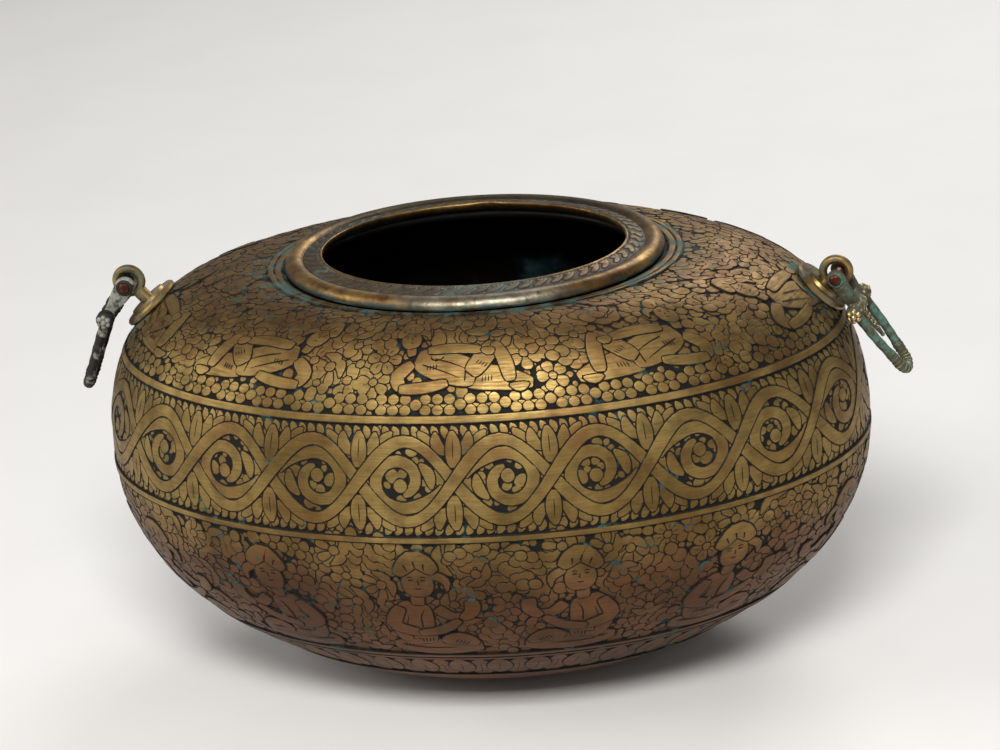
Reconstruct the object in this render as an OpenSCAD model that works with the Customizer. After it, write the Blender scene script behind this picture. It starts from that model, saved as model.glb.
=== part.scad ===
// Kashkul: an oval begging bowl of raised and engraved brass. A soldered collar
// frames its mouth, and at each end a boss carries an eye, a riveted link and a
// drop bail for a chain or strap.
// Millimetres, +Z up, origin at the centre of the base flat, +X towards the
// right handle.

/* [Bowl] */
// Greatest length of the bowl
bowl_length = 250; // [220:1:280]
// Greatest width of the bowl
bowl_width = 173; // [150:1:200]
// Height of the widest line above the base
equator_height = 77; // [65:1:90]
// Length of the flat that the bowl stands on
base_length = 80; // [50:1:110]
// Rise of the shoulder from the widest line to the collar
shoulder_rise = 60; // [50:1:70]
// Thickness of the bowl's wall
wall = 2.2; // [1.8:0.1:3]
// Fullness of the belly, where 2 is an ellipse
belly_fullness = 2.06; // [1.8:0.02:2.4]
// Fullness of the shoulder along the bowl
shoulder_fullness_long = 2.54; // [2.2:0.02:2.9]
// Fullness of the shoulder across the bowl
shoulder_fullness_wide = 1.92; // [1.7:0.02:2.3]

/* [Engraved bands] */
// Height of the upper fillet above the widest line
upper_fillet_rise = 35.7; // [32:0.1:38]
// Depth of the lower fillet below the widest line
lower_fillet_drop = 1.3; // [0.5:0.1:6]
// Depth of the frieze's fillet below the widest line
frieze_fillet_drop = 49.2; // [44:0.1:54]
// Distance from the collar to the fillet round it
collar_fillet_gap = 3.4; // [2.5:0.1:6]
// Width of the upper fillet
upper_fillet_width = 1.7; // [1:0.1:2.4]
// Width of the lower fillet
lower_fillet_width = 1.2; // [0.8:0.1:2]
// Width of the frieze's fillet
frieze_fillet_width = 1; // [0.6:0.1:2]
// Width of the fillet round the collar
collar_fillet_width = 0.8; // [0.6:0.1:1.4]
// Depth of the ground in the middle band
band_depth = 0.65; // [0.4:0.05:0.9]
// Depth of the tops of the middle band's wavy stems
stem_depth = 0.2; // [0:0.05:0.3]
// Width of the wavy stems
stem_width = 2.7; // [2:0.1:3.5]
// Room between the wavy stems and the fillets
stem_room = 6.4; // [4:0.1:8]
// Depth to which the carved shoulder and belly are cut back
register_depth = 0.3; // [0.2:0.05:0.5]

/* [Mouth collar] */
// Length of the mouth inside the collar
mouth_length = 98; // [84:1:110]
// Width of the mouth inside the collar
mouth_width = 78; // [64:1:90]
// Width of the collar from the mouth to its outer edge
collar_width = 12.5; // [11:0.5:16]
// How far the collar reaches in over the hole in the bowl
collar_overhang = 3.5; // [2:0.5:5]
// Width of the round bead along the collar's outer edge
bead_width = 5.8; // [4:0.2:7]
// Height of the bead
bead_height = 3.8; // [3:0.1:5]
// Rise of the lip from the bead to the mouth
lip_rise = 1; // [0.4:0.1:2]
// Thickness of the lip at the mouth
lip_thickness = 1.8; // [1.2:0.1:2.4]

/* [Bosses] */
// Height of the left boss above the widest line
left_boss_height = 47.5; // [42:0.5:50]
// Height of the right boss above the widest line
right_boss_height = 45; // [42:0.5:50]
// Diameter of a boss's flange
boss_diameter = 20; // [17:0.5:22]
// Thickness of a boss's flange
flange_thickness = 2.2; // [1.6:0.1:3]
// Diameter of the raised crown of a boss
crown_diameter = 13; // [10:0.5:14]
// Height of the crown above the flange
crown_height = 1; // [0.4:0.1:1.4]
// Depth of the flat filed on the bowl for a boss
seat_depth = 1; // [0.6:0.1:1.2]

/* [Eyes] */
// Diameter of the hole in an eye
eye_hole_diameter = 5.6; // [5:0.1:6.4]
// Thickness of an eye's round bar
eye_bar = 2.7; // [2.2:0.1:3.2]
// Diameter of the neck under an eye
neck_diameter = 4.6; // [4:0.1:4.8]
// Height from the left boss to the hole in its eye
left_eye_rise = 5.4; // [3:0.2:7]
// Height from the right boss to the hole in its eye
right_eye_rise = 2; // [1.8:0.2:4]
// Diameter of an eye's shank
shank_diameter = 3.8; // [3:0.1:4.6]
// Diameter of the rove, the washer inside the bowl
rove_diameter = 10; // [8:0.5:13]
// Thickness of a rove
rove_thickness = 1.2; // [0.8:0.1:2]
// Diameter of the hammered tail over a rove
tail_diameter = 5.8; // [5.2:0.1:7]
// Height of the hammered tail
tail_height = 1.2; // [0.8:0.1:2]

/* [Links] */
// Distance from a link's rivet to its cross pin
link_length = 12; // [11:0.5:17]
// Width of a link's ear round the rivet
ear_width = 5.8; // [5:0.1:6.2]
// How much wider the left link's ears are
left_ear_swell = 1; // [0:0.1:1.2]
// Width of an ear where it meets the block
ear_foot_width = 3.6; // [3:0.1:5]
// Thickness of an ear
ear_thickness = 2.2; // [1.6:0.1:3]
// Gap between the two ears of a link
ear_gap = 5.6; // [5.5:0.1:7]
// Diameter of a rivet
rivet_diameter = 3.2; // [2.4:0.1:4]
// Diameter of a rivet's heads
rivet_head_diameter = 4.6; // [4.2:0.1:5.4]
// Height of a rivet's heads
rivet_head_height = 1; // [0.6:0.1:1.6]
// Thickness of a link's block round the cross pin
block_thickness = 5.2; // [4.4:0.1:5.6]
// Length of the leaf that hangs from a block
leaf_length = 14; // [10:0.5:16]
// Width of the leaf
leaf_width = 5; // [3:0.1:6]
// Thickness of the leaf
leaf_thickness = 2; // [1.4:0.1:2.6]
// How far the left link leans out from upright
left_link_lean = 36; // [32:1:45]
// How far the right link leans out from upright
right_link_lean = 31; // [31:1:45]
// How far the right link sits turned on its loose rivet
right_link_turn = 10; // [0:1:10]

/* [Bails] */
// Length of a bail from its pin to its lowest point
bail_length = 28.5; // [24:0.5:32]
// Thickness of a bail's round bar
bail_bar = 3.2; // [2.6:0.1:3.4]
// Extra thickness of the ribbed bend of a bail
bend_swell = 0.5; // [0.3:0.1:1]
// Radius of the bend at the middle of the bar
bend_radius = 4.2; // [3.6:0.1:5]
// Diameter of the eyelets at a bail's ends
eyelet_diameter = 6; // [5.2:0.1:6.4]
// Diameter of a cross pin
cross_pin_diameter = 2.4; // [1.8:0.1:2.8]
// Diameter of a cross pin's knobs
knob_diameter = 4.4; // [3.6:0.1:5]
// Length of a cross pin's knob
knob_length = 1.2; // [0.8:0.1:2]
// How far the left bail leans out from upright
left_bail_lean = 22; // [12:1:30]
// How far the right bail leans out from upright
right_bail_lean = 34; // [20:1:35]

/* [Fits] */
// Radial room of a shank in its holes and of a bail on its pin
running_room = 0.06; // [0.04:0.01:0.1]
// Room between a rivet and the wall of the eye that it hangs in
hanging_room = 0.2; // [0.1:0.05:0.3]
// Room between a bail's eyelets and what lies beside them
side_room = 0.3; // [0.2:0.05:0.5]

/* [Hidden] */

$fn = 64;
left = -1;
right = 1;

// Facets of the collar
segments = 64;

// Facets of the bowl: rings inside it, and rows between the fillets outside it
belly_rings = 10;
shoulder_rings = 12;
foot_rows = 4;
belly_rows = 5;
shoulder_rows = 6;

// Waves of the stems round the bowl, and the columns of facets that follow them
band_waves = 11;
columns_per_wave = 10;
columns = band_waves * columns_per_wave;

// Slope at the foot of a fillet or a stem, and the least spread of a crossing's rows
relief_edge = 0.3;
crossing_spread = 0.15;

brass = "#a5824b";
worn_brass = "#c8a55f";
dark_bronze = "#5a5040";
green_bronze = "#6f8a74";
copper = "#a8553a";

// Half sizes of the bowl and of the rings near its mouth
half_length = bowl_length / 2;
half_width = bowl_width / 2;
collar_half_length = mouth_length / 2 + collar_width;
collar_half_width = mouth_width / 2 + collar_width;
hole_half_length = mouth_length / 2 + collar_overhang;
hole_half_width = mouth_width / 2 + collar_overhang;
collar_base = equator_height + shoulder_rise;

// Small details of the collar's section
lip_edge = 0.4;
groove_width = 0.6;
groove_depth = 0.4;
bead_foot = 0.5;
bead_steps = 6;

// Depth below the widest line at which the belly's curve would close
base_share = base_length / bowl_length;
closing_depth = equator_height / superellipse(base_share, belly_fullness);

// Heights along a boss's axis from its seat on the bowl
boss_thickness = flange_thickness + crown_height;
rove_flat_depth = 0.1;
web = wall - seat_depth - rove_flat_depth;
seat_margin = 0.3;
cut_excess = 1;
cut_reach = 6;
flange_edge = flange_thickness * 0.3;

// An eye and the rivet that hangs in it
eye_hole_radius = eye_hole_diameter / 2;
eye_middle_radius = eye_hole_radius + eye_bar / 2;
rivet_drop = eye_hole_radius - rivet_diameter / 2 - hanging_room;
eye_reach = eye_hole_radius + eye_bar + rivet_drop;

// Share of its width that a hammered head keeps at its end
head_taper = 0.6;

// Widths along a link's rivet and pin, measured from the middle
ear_inner = ear_gap / 2;
link_half_width = ear_inner + ear_thickness;
bridge_room = 0.5;
bridge_top = eye_reach + bridge_room;
bridge_thickness = block_thickness * 0.75;
ear_top_share = 0.9;
eyelet_extra = 0.6;
eyelet_width = bail_bar + eyelet_extra;
eyelet_middle = link_half_width + side_room + eyelet_width / 2;
eyelet_edge_share = 0.78;
eyelet_flat_share = 0.4;
knob_start = eyelet_middle + eyelet_width / 2 + side_room;

// The bend of a bail, and where its straight bars run into the bend
bend_bar = bail_bar + bend_swell;
bend_drop = bail_length - bend_bar / 2 - bend_radius;
bend_angle = atan2(bend_drop, eyelet_middle)
    - acos(bend_radius / norm([eyelet_middle, bend_drop]));
bar_overlap = 0.8;

// Share of the full size left at a share of the rise, on a rounded curve
function superellipse(share, fullness) = pow(1 - pow(share, fullness), 1 / fullness);

// Slope of that curve
function superellipse_slope(share, fullness) =
    -pow(share, fullness - 1) * pow(1 - pow(share, fullness), 1 / fullness - 1);

// Shares of a rise, closer together near its end where the curve is tight
function eased(steps) = [for (i = [0:steps]) sin(90 * i / steps)];

// Rings of half length, half width and height, for a skin set in by inset
function belly_skin(inset, steps) =
    let (depth = closing_depth - inset, floor_share = (equator_height - inset) / depth)
    [for (i = [steps:-1:1])
        let (share = floor_share * sin(90 * i / steps), spread = superellipse(share, belly_fullness))
        [(half_length - inset) * spread, (half_width - inset) * spread, equator_height - depth * share]];

function shoulder_skin(inset, steps) =
    [for (share = eased(steps))
        [collar_half_length + (half_length - inset - collar_half_length)
            * superellipse(share, shoulder_fullness_long),
         collar_half_width + (half_width - inset - collar_half_width)
            * superellipse(share, shoulder_fullness_wide),
         equator_height + (shoulder_rise - inset) * share]];

function backwards(list) = [for (i = [len(list) - 1:-1:0]) list[i]];

// A point of an oval ring, and points all round it
function oval_point(ring, angle) = [ring[0] * cos(angle), ring[1] * sin(angle), ring[2]];
function oval(ring, angles) = [for (angle = angles) oval_point(ring, angle)];
even_angles = [for (i = [0:segments - 1]) 360 * i / segments];

// Triangles between two rings that follow each other
function band(first, second, count) =
    [for (i = [0:count - 1])
        let (j = (i + 1) % count)
        each [[first + i, second + i, second + j], [first + i, second + j, first + j]]];

// Triangles between a ring and one of half as many points
function halving_band(first, second, count) =
    [for (i = [0:count / 2 - 1])
        let (j = (i + 1) % (count / 2), a = first + 2 * i, b = second + i)
        each [[a, b, a + 1], [a + 1, b, second + j], [a + 1, second + j, first + 2 * j]]];

// A shell skinned over outer rows and over inner rows of half as many points,
// closed by flat caps at its two ends
module skinned(outer, inner) {
    count = len(outer[0]);
    half = count / 2;
    inner_start = len(outer) * count;
    last_row = inner_start + (len(inner) - 1) * half;
    outside = [for (k = [0:len(outer) - 2]) each band(k * count, (k + 1) * count, count)];
    rim = halving_band(inner_start - count, inner_start, count);
    inside = [for (k = [0:len(inner) - 2]) each band(inner_start + k * half, inner_start + (k + 1) * half, half)];
    first_cap = [for (i = [0:count - 1]) i];
    last_cap = [for (i = [half - 1:-1:0]) last_row + i];
    points = [for (row = concat(outer, inner)) each row];
    polyhedron(points, concat(outside, rim, inside, [first_cap, last_cap]), convexity = 6);
}

// The plain outer skin, the way up it to each of its rings, and how a ring moves
// when it is set in
fine_rings = 40;
plain_skin = concat(belly_skin(0, fine_rings), shoulder_skin(0, fine_rings));
set_in_skin = concat(belly_skin(1, fine_rings), shoulder_skin(1, fine_rings));
last_ring = len(plain_skin) - 1;

function way_between(low, high) =
    let (step = high - low) sqrt(pow(step[2], 2) + (pow(step[0], 2) + pow(step[1], 2)) / 2);

skin_ways = [for (i = 0, way = 0; i <= last_ring;
    way = way + way_between(plain_skin[i], plain_skin[min(i + 1, last_ring)]), i = i + 1) way];
ways_by_height = [for (i = [0:last_ring]) [plain_skin[i][2], skin_ways[i]]];
skin_sizes = [for (k = [0:2]) [for (i = [0:last_ring]) [skin_ways[i], plain_skin[i][k]]]];
skin_moves = [for (k = [0:2]) [for (i = [0:last_ring]) [skin_ways[i], set_in_skin[i][k] - plain_skin[i][k]]]];

// The ring of the skin at a way up it, set in by a depth
function skin_ring(way, depth) =
    [for (k = [0:2]) lookup(way, skin_sizes[k]) + depth * lookup(way, skin_moves[k])];

// Ways up to the fillets and to the middle of the band between two of them
frieze_way = lookup(equator_height - frieze_fillet_drop, ways_by_height);
lower_way = lookup(equator_height - lower_fillet_drop, ways_by_height);
upper_way = lookup(equator_height + upper_fillet_rise, ways_by_height);
top_way = skin_ways[last_ring];
collar_fillet_way = top_way - collar_fillet_gap;
band_middle = (lower_way + upper_way) / 2;
stem_swing = (upper_way - lower_way) / 2 - stem_room;

// Angles that part the band's middle ring into equal lengths, from the back
middle_ring = skin_ring(band_middle, 0);
arc_lengths = [for (angle = 90, length = 0; angle <= 450;
    length = length + norm(oval_point(middle_ring, angle + 1) - oval_point(middle_ring, angle)),
    angle = angle + 1) length];
angles_by_length = [for (i = [0:360]) [arc_lengths[i], 90 + i]];
column_angles = [for (i = [0:columns - 1]) lookup(arc_lengths[360] * i / columns, angles_by_length)];
inner_angles = [for (i = [0:2:columns - 1]) column_angles[i]];

// Rows of points on the outside: plain, between two ways, and over a raised fillet
function skin_row(way, depth) = oval(skin_ring(way, depth), column_angles);
function rows_between(low, high, count, depth) =
    [for (i = [1:count]) skin_row(low + (high - low) * i / (count + 1), depth)];
function fillet_rows(way, width, depth_below, depth_above) =
    let (half = width / 2)
    [skin_row(way - half - relief_edge, depth_below), skin_row(way - half, 0),
     skin_row(way + half, 0), skin_row(way + half + relief_edge, depth_above)];

// A row that follows the stems: its distance from the band's middle is that of a
// stem's middle line plus an offset, but no less than a crossing allows
function stem_row(side, offset, least) =
    [for (i = [0:columns - 1])
        let (
            swing = stem_swing * abs(sin(360 * i / columns_per_wave)),
            distance = max(swing + offset, least),
            on_stem = abs(offset) <= stem_width / 2 || distance == least && offset < 0)
        oval_point(skin_ring(band_middle + side * distance, on_stem ? stem_depth : band_depth), column_angles[i])];

// A row half way between a stem's foot and a fillet
function side_row(side) =
    [for (i = [0:columns - 1])
        let (
            swing = stem_swing * abs(sin(360 * i / columns_per_wave)),
            distance = (swing + stem_swing + stem_room) / 2)
        oval_point(skin_ring(band_middle + side * distance, band_depth), column_angles[i])];

function stem_rows(side) =
    let (half = stem_width / 2)
    [stem_row(side, -half - relief_edge, crossing_spread), stem_row(side, -half, 3 * crossing_spread),
     stem_row(side, half, 0), stem_row(side, half + relief_edge, 0), side_row(side)];

// A row along the band's middle line, which is raised where the stems cross
function middle_row() =
    [for (i = [0:columns - 1])
        let (crossing = i % (columns_per_wave / 2) == 0)
        oval_point(skin_ring(band_middle, crossing ? stem_depth : band_depth), column_angles[i])];

function outer_rows() = concat(
    [skin_row(0, 0)],
    rows_between(0, frieze_way, foot_rows, register_depth),
    fillet_rows(frieze_way, frieze_fillet_width, register_depth, register_depth),
    rows_between(frieze_way, lower_way, belly_rows, register_depth),
    fillet_rows(lower_way, lower_fillet_width, register_depth, band_depth),
    backwards(stem_rows(-1)), [middle_row()], stem_rows(1),
    fillet_rows(upper_way, upper_fillet_width, band_depth, register_depth),
    rows_between(upper_way, collar_fillet_way, shoulder_rows, register_depth),
    fillet_rows(collar_fillet_way, collar_fillet_width, register_depth, 0),
    [skin_row(top_way, 0)]);

// A closed hoop skinned over a loop of rings
module hoop(rings) {
    count = len(rings);
    points = [for (ring = rings) each oval(ring, even_angles)];
    sides = [for (k = [0:count - 1]) each band(k * segments, ((k + 1) % count) * segments, segments)];
    polyhedron(points, sides, convexity = 6);
}

// Place and tilt of a handle's seat at a height above the widest line
function seat_x(height) = collar_half_length
    + (half_length - collar_half_length) * superellipse(height / shoulder_rise, shoulder_fullness_long);
function seat_tilt(height) = atan(-(half_length - collar_half_length) / shoulder_rise
    * superellipse_slope(height / shoulder_rise, shoulder_fullness_long));
function seat_origin(height) = let (tilt = seat_tilt(height))
    [seat_x(height) - seat_depth * cos(tilt), 0, equator_height + height - seat_depth * sin(tilt)];

function boss_height(side) = side == left ? left_boss_height : right_boss_height;
function eye_rise(side) = side == left ? left_eye_rise : right_eye_rise;
function link_lean(side) = side == left ? left_link_lean : right_link_lean;
function link_turn(side) = side == left ? 0 : right_link_turn;
function ear_size(side) = ear_width + (side == left ? left_ear_swell : 0);
function bail_lean(side) = side == left ? left_bail_lean : right_bail_lean;
function link_colour(side) = side == left ? dark_bronze : green_bronze;

// Height of an eye's middle above its seat
function eye_height(side) = boss_thickness + eye_rise(side) + eye_hole_radius;

// Middle of the rivet, before the left side is turned round
function rivet_place(side) =
    let (tilt = seat_tilt(boss_height(side)), lean = link_lean(side))
    seat_origin(boss_height(side))
        + eye_height(side) * [cos(tilt), 0, sin(tilt)]
        + rivet_drop * [sin(lean), 0, -cos(lean)];

// Frame of a side of the bowl
module on_side(side) {
    rotate([0, 0, side == left ? 180 : 0]) children();
}

// Frame of a boss: +Z along its axis, away from the bowl
module on_seat(side) {
    on_side(side)
        translate(seat_origin(boss_height(side)))
        rotate([0, 90 - seat_tilt(boss_height(side)), 0])
        children();
}

// Frame of a link: the origin is its rivet, and it hangs along -Z
module on_rivet(side) {
    on_side(side)
        translate(rivet_place(side))
        rotate([0, -link_lean(side), 0])
        rotate([0, 0, -link_turn(side)])
        children();
}

// Frame of a bail: the origin is its cross pin, and it hangs along -Z
module on_pin(side) {
    on_rivet(side)
        translate([0, 0, -link_length])
        rotate([0, link_lean(side) - bail_lean(side), 0])
        children();
}

// A round bar along Y between two places on that axis
module bar_along_y(diameter, from, to) {
    translate([0, from, 0]) rotate([-90, 0, 0]) cylinder(d = diameter, h = to - from);
}

// A flat shape drawn in Y and Z, given a thickness along X
module plate_facing_x(thickness) {
    rotate([90, 0, 90]) translate([0, 0, -thickness / 2]) linear_extrude(thickness) children();
}

// Cuts that seat a boss, a shank and a rove in the wall
module seat_cuts(side) {
    on_seat(side) {
        cylinder(d = boss_diameter + 2 * seat_margin, h = cut_reach);
        translate([0, 0, -cut_reach]) cylinder(d = shank_diameter + 2 * running_room, h = 2 * cut_reach);
        translate([0, 0, -web - cut_reach]) cylinder(d = rove_diameter + 2 * seat_margin, h = cut_reach);
    }
}

module bowl_shell() {
    hole_ring = [hole_half_length, hole_half_width, collar_base];
    outer = concat(outer_rows(), [oval(hole_ring, column_angles)]);
    inner_rings = concat(
        [hole_ring - [0, 0, wall]],
        backwards(shoulder_skin(wall, shoulder_rings)),
        backwards(belly_skin(wall, belly_rings)));
    color(brass)
        difference() {
            skinned(outer, [for (ring = inner_rings) oval(ring, inner_angles)]);
            seat_cuts(left);
            seat_cuts(right);
        }
}

module mouth_collar() {
    bead_start = collar_width - bead_width;
    lip_top = bead_height + lip_rise;
    groove_floor = bead_height - groove_depth;
    lip = [
        [0, lip_top - lip_thickness], [0, lip_top - lip_edge],
        [lip_edge, lip_top], [bead_start - groove_width, bead_height]
    ];
    groove = [[bead_start - groove_width / 2, groove_floor], [bead_start, groove_floor]];
    bead = [for (i = [0:bead_steps])
        let (a = 90 * i / bead_steps)
        [bead_start + bead_width * sin(a), bead_foot + (bead_height - bead_foot) * cos(a)]];
    seat = [[collar_width - lip_edge, 0], [collar_overhang, 0]];
    section = concat(lip, groove, bead, seat);
    color(worn_brass)
        hoop([for (point = backwards(section))
            [mouth_length / 2 + point[0], mouth_width / 2 + point[0], collar_base + point[1]]]);
}

module boss(side) {
    flange_radius = boss_diameter / 2;
    crown_radius = crown_diameter / 2;
    hole_radius = shank_diameter / 2 + running_room;
    color(worn_brass)
        on_seat(side)
        rotate_extrude()
        polygon([
            [hole_radius, 0],
            [flange_radius - flange_edge, 0],
            [flange_radius, flange_edge],
            [flange_radius, flange_thickness - flange_edge],
            [flange_radius - flange_edge, flange_thickness],
            [crown_radius + crown_height / 2, flange_thickness],
            [crown_radius, boss_thickness],
            [hole_radius, boss_thickness]
        ]);
}

module eye(side) {
    height = eye_height(side);
    neck_height = max(height - eye_middle_radius - boss_thickness, eye_rise(side) / 2);
    block = 2 * (eye_middle_radius + eye_bar);
    shank_end = web + rove_thickness + tail_height;
    color(worn_brass)
        on_seat(side) {
            difference() {
                union() {
                    translate([0, 0, height])
                        rotate([90, 0, 0])
                        rotate_extrude()
                        translate([eye_middle_radius, 0])
                        circle(d = eye_bar);
                    translate([0, 0, boss_thickness])
                        cylinder(d = neck_diameter, h = neck_height);
                }
                translate([-block / 2, -block / 2, boss_thickness - block]) cube(block);
            }
            translate([0, 0, -shank_end]) {
                cylinder(d = shank_diameter, h = shank_end + boss_thickness);
                cylinder(d1 = tail_diameter * head_taper, d2 = tail_diameter, h = tail_height);
            }
        }
}

module rove(side) {
    color(copper)
        on_seat(side)
        translate([0, 0, -web - rove_thickness])
        difference() {
            cylinder(d = rove_diameter, h = rove_thickness);
            translate([0, 0, -cut_excess])
                cylinder(d = shank_diameter + 2 * running_room, h = rove_thickness + 2 * cut_excess);
        }
}

// One ear of a link, drawn across its rivet
module ear_outline(width) {
    top = ear_top_share * width / 2;
    foot = ear_foot_width / 2;
    circle(d = width);
    polygon([[-top, 0], [top, 0], [foot, -link_length], [-foot, -link_length]]);
}

// A pointed leaf that hangs from the origin
module leaf_outline() {
    steps = 12;
    right_edge = [for (i = [0:steps])
        let (share = i / steps, swell = 0.55 + 0.45 * sin(180 * share), point = pow(1 - pow(share, 3), 0.8))
        [leaf_width / 2 * swell * point, -leaf_length * share]];
    left_edge = [for (i = [steps - 1:-1:0]) [-right_edge[i][0], right_edge[i][1]]];
    polygon(concat(right_edge, left_edge));
}

module link(side) {
    color(link_colour(side))
        on_rivet(side)
        difference() {
            union() {
                for (end = [-1, 1])
                    translate([0, end * (ear_inner + ear_thickness / 2) + ear_thickness / 2, 0])
                    rotate([90, 0, 0])
                    linear_extrude(ear_thickness)
                    ear_outline(ear_size(side));
                translate([-bridge_thickness / 2, -ear_inner - ear_thickness / 2, -link_length])
                    cube([bridge_thickness, 2 * ear_inner + ear_thickness, link_length - bridge_top]);
                translate([0, 0, -link_length]) {
                    bar_along_y(block_thickness, -link_half_width, link_half_width);
                    rotate([0, link_lean(side) - bail_lean(side), 0])
                        plate_facing_x(leaf_thickness) leaf_outline();
                }
            }
            bar_along_y(rivet_diameter, -link_half_width - cut_excess, link_half_width + cut_excess);
            translate([0, 0, -link_length])
                bar_along_y(cross_pin_diameter, -link_half_width - cut_excess, link_half_width + cut_excess);
        }
}

// A hammered head that narrows away from the origin
module hammered_head(diameter, height) {
    cylinder(d1 = diameter, d2 = diameter * head_taper, h = height);
}

module rivet(side) {
    color(copper)
        on_rivet(side) {
            bar_along_y(rivet_diameter, -link_half_width, link_half_width);
            for (end = [-1, 1])
                scale([1, end, 1])
                translate([0, link_half_width, 0])
                rotate([-90, 0, 0])
                hammered_head(rivet_head_diameter, rivet_head_height);
        }
}

module cross_pin(side) {
    color(copper)
        on_rivet(side)
        translate([0, 0, -link_length]) {
            bar_along_y(cross_pin_diameter, -knob_start, knob_start);
            for (end = [-1, 1])
                scale([1, end, 1])
                translate([0, knob_start, 0])
                rotate([-90, 0, 0])
                hammered_head(knob_diameter, knob_length);
        }
}

// A barrel-shaped eyelet about the pin
module eyelet() {
    half = eyelet_width / 2;
    full = eyelet_diameter / 2;
    edge = full * eyelet_edge_share;
    translate([0, eyelet_middle, 0])
        rotate([-90, 0, 0])
        rotate_extrude()
        polygon([
            [0, -half], [edge, -half], [full, -half * eyelet_flat_share],
            [full, half * eyelet_flat_share], [edge, half], [0, half]
        ]);
}

// A straight bar from an eyelet into the bend
module bail_side() {
    start = [eyelet_middle, 0];
    finish = [bend_radius * cos(bend_angle), bend_radius * sin(bend_angle) - bend_drop];
    run = finish - start;
    translate(start)
        rotate([0, 0, atan2(run[1], run[0])])
        rotate([0, 90, 0])
        cylinder(d = bail_bar, h = norm(run) + bar_overlap);
}

module bail(side) {
    pin_bore = cross_pin_diameter + 2 * running_room;
    color(link_colour(side))
        on_pin(side)
        difference() {
            union() {
                rotate([90, 0, 90]) {
                    bail_side();
                    mirror([1, 0, 0]) bail_side();
                    translate([0, -bend_drop, 0])
                        rotate([0, 0, 180 - bend_angle])
                        rotate_extrude(angle = 180 + 2 * bend_angle)
                        translate([bend_radius, 0])
                        circle(d = bend_bar);
                }
                eyelet();
                mirror([0, 1, 0]) eyelet();
            }
            bar_along_y(pin_bore, -knob_start - cut_excess, knob_start + cut_excess);
        }
}

bowl_shell();
mouth_collar();
boss(left);  // left_boss
eye(left);  // left_eye
rove(left);  // left_rove
link(left);  // left_link
rivet(left);  // left_rivet
cross_pin(left);  // left_cross_pin
bail(left);  // left_bail
boss(right);  // right_boss
eye(right);  // right_eye
rove(right);  // right_rove
link(right);  // right_link
rivet(right);  // right_rivet
cross_pin(right);  // right_cross_pin
bail(right);  // right_bail
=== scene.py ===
# %% [markdown]
# # An engraved kashkul
# A kashkul is the begging bowl of a wandering dervish. This one is raised from brass sheet and engraved all
# over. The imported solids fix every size, so the looks are built around them in the same frame, in metres.

import copy
import math
import random
from functools import cache
from types import SimpleNamespace

import bmesh
import bpy
import numpy as np
from mathutils import Matrix, Vector
from mathutils.kdtree import KDTree


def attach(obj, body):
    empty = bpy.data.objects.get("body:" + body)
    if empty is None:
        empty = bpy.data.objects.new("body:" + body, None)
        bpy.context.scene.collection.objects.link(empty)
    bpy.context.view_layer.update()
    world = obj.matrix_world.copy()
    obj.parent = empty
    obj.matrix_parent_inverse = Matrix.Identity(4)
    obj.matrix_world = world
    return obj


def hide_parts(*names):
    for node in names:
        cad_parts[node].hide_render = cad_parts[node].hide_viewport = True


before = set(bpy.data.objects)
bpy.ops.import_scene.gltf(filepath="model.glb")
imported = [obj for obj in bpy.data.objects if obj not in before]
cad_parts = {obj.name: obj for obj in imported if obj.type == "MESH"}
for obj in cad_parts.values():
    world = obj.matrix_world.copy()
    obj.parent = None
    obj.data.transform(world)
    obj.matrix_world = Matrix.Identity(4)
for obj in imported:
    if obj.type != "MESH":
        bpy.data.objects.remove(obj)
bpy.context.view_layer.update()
dice = random.Random(7)

# %% [markdown]
# ## Sizes
# All lengths are in millimetres and follow the solids. A ring of the bowl is an ellipse with two half axes.
# Both shrink above and below the widest line along a superellipse, an ellipse with a settable fullness.

# %% Sizes of the bowl
MM = 0.001
EQUATOR = 77.0
HALF_LENGTH = 125.0
HALF_WIDTH = 86.5
SHOULDER_RISE = 60.0
CLOSING_DEPTH = 80.85
BELLY_FULLNESS = 2.06
SHOULDER_FULLNESS = (2.54, 1.92)
COLLAR_HALF = (61.5, 51.5)
COLLAR_BASE = 137.0
HOLE_HALF = (52.5, 42.5)
WALL = 2.2
SEATS = (
    (Vector((-107.131, 0, 123.731)), math.radians(180), math.radians(50.25)),
    (Vector((109.826, 0, 121.289)), 0.0, math.radians(45.34)),
)
SEAT_RADIUS = 10.4
SEAT_REACH = 4.0
SEAT_DROP = 0.03
UPPER_LINE = 112.7
LOWER_LINE = 75.7
FRIEZE_LINE = 27.8
PLAIN_LINE = 13.3
GROUND_DEPTH = 0.7
PLAIN_DEPTH = 0.02


def superellipse(share, fullness):
    return np.clip(1 - np.abs(share) ** fullness, 0, None) ** (1 / fullness)


def outer_rings(steps):
    """Half axes and heights of the bowl's rings from the base's edge up to the collar."""
    start = math.asin(EQUATOR / CLOSING_DEPTH)
    low = -CLOSING_DEPTH * np.sin(np.linspace(start, 0, steps, endpoint=False))
    high = SHOULDER_RISE * np.sin(np.linspace(0, math.pi / 2, steps))
    belly = superellipse(low / CLOSING_DEPTH, BELLY_FULLNESS)
    halves = []
    for widest, collar, fullness in zip((HALF_LENGTH, HALF_WIDTH), COLLAR_HALF, SHOULDER_FULLNESS):
        rise = superellipse(high / SHOULDER_RISE, fullness)
        halves.append(np.concatenate([widest * belly, collar + (widest - collar) * rise]))
    return *halves, EQUATOR + np.concatenate([low, high])


RINGS = outer_rings(240)
STEP_A, STEP_B, STEP_Z = (np.diff(table) for table in RINGS)
RING_WAY = np.concatenate([[0], np.cumsum(np.sqrt(STEP_Z ** 2 + (STEP_A ** 2 + STEP_B ** 2) / 2))])
SLOPES = [np.gradient(table, RING_WAY) for table in RINGS]


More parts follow.
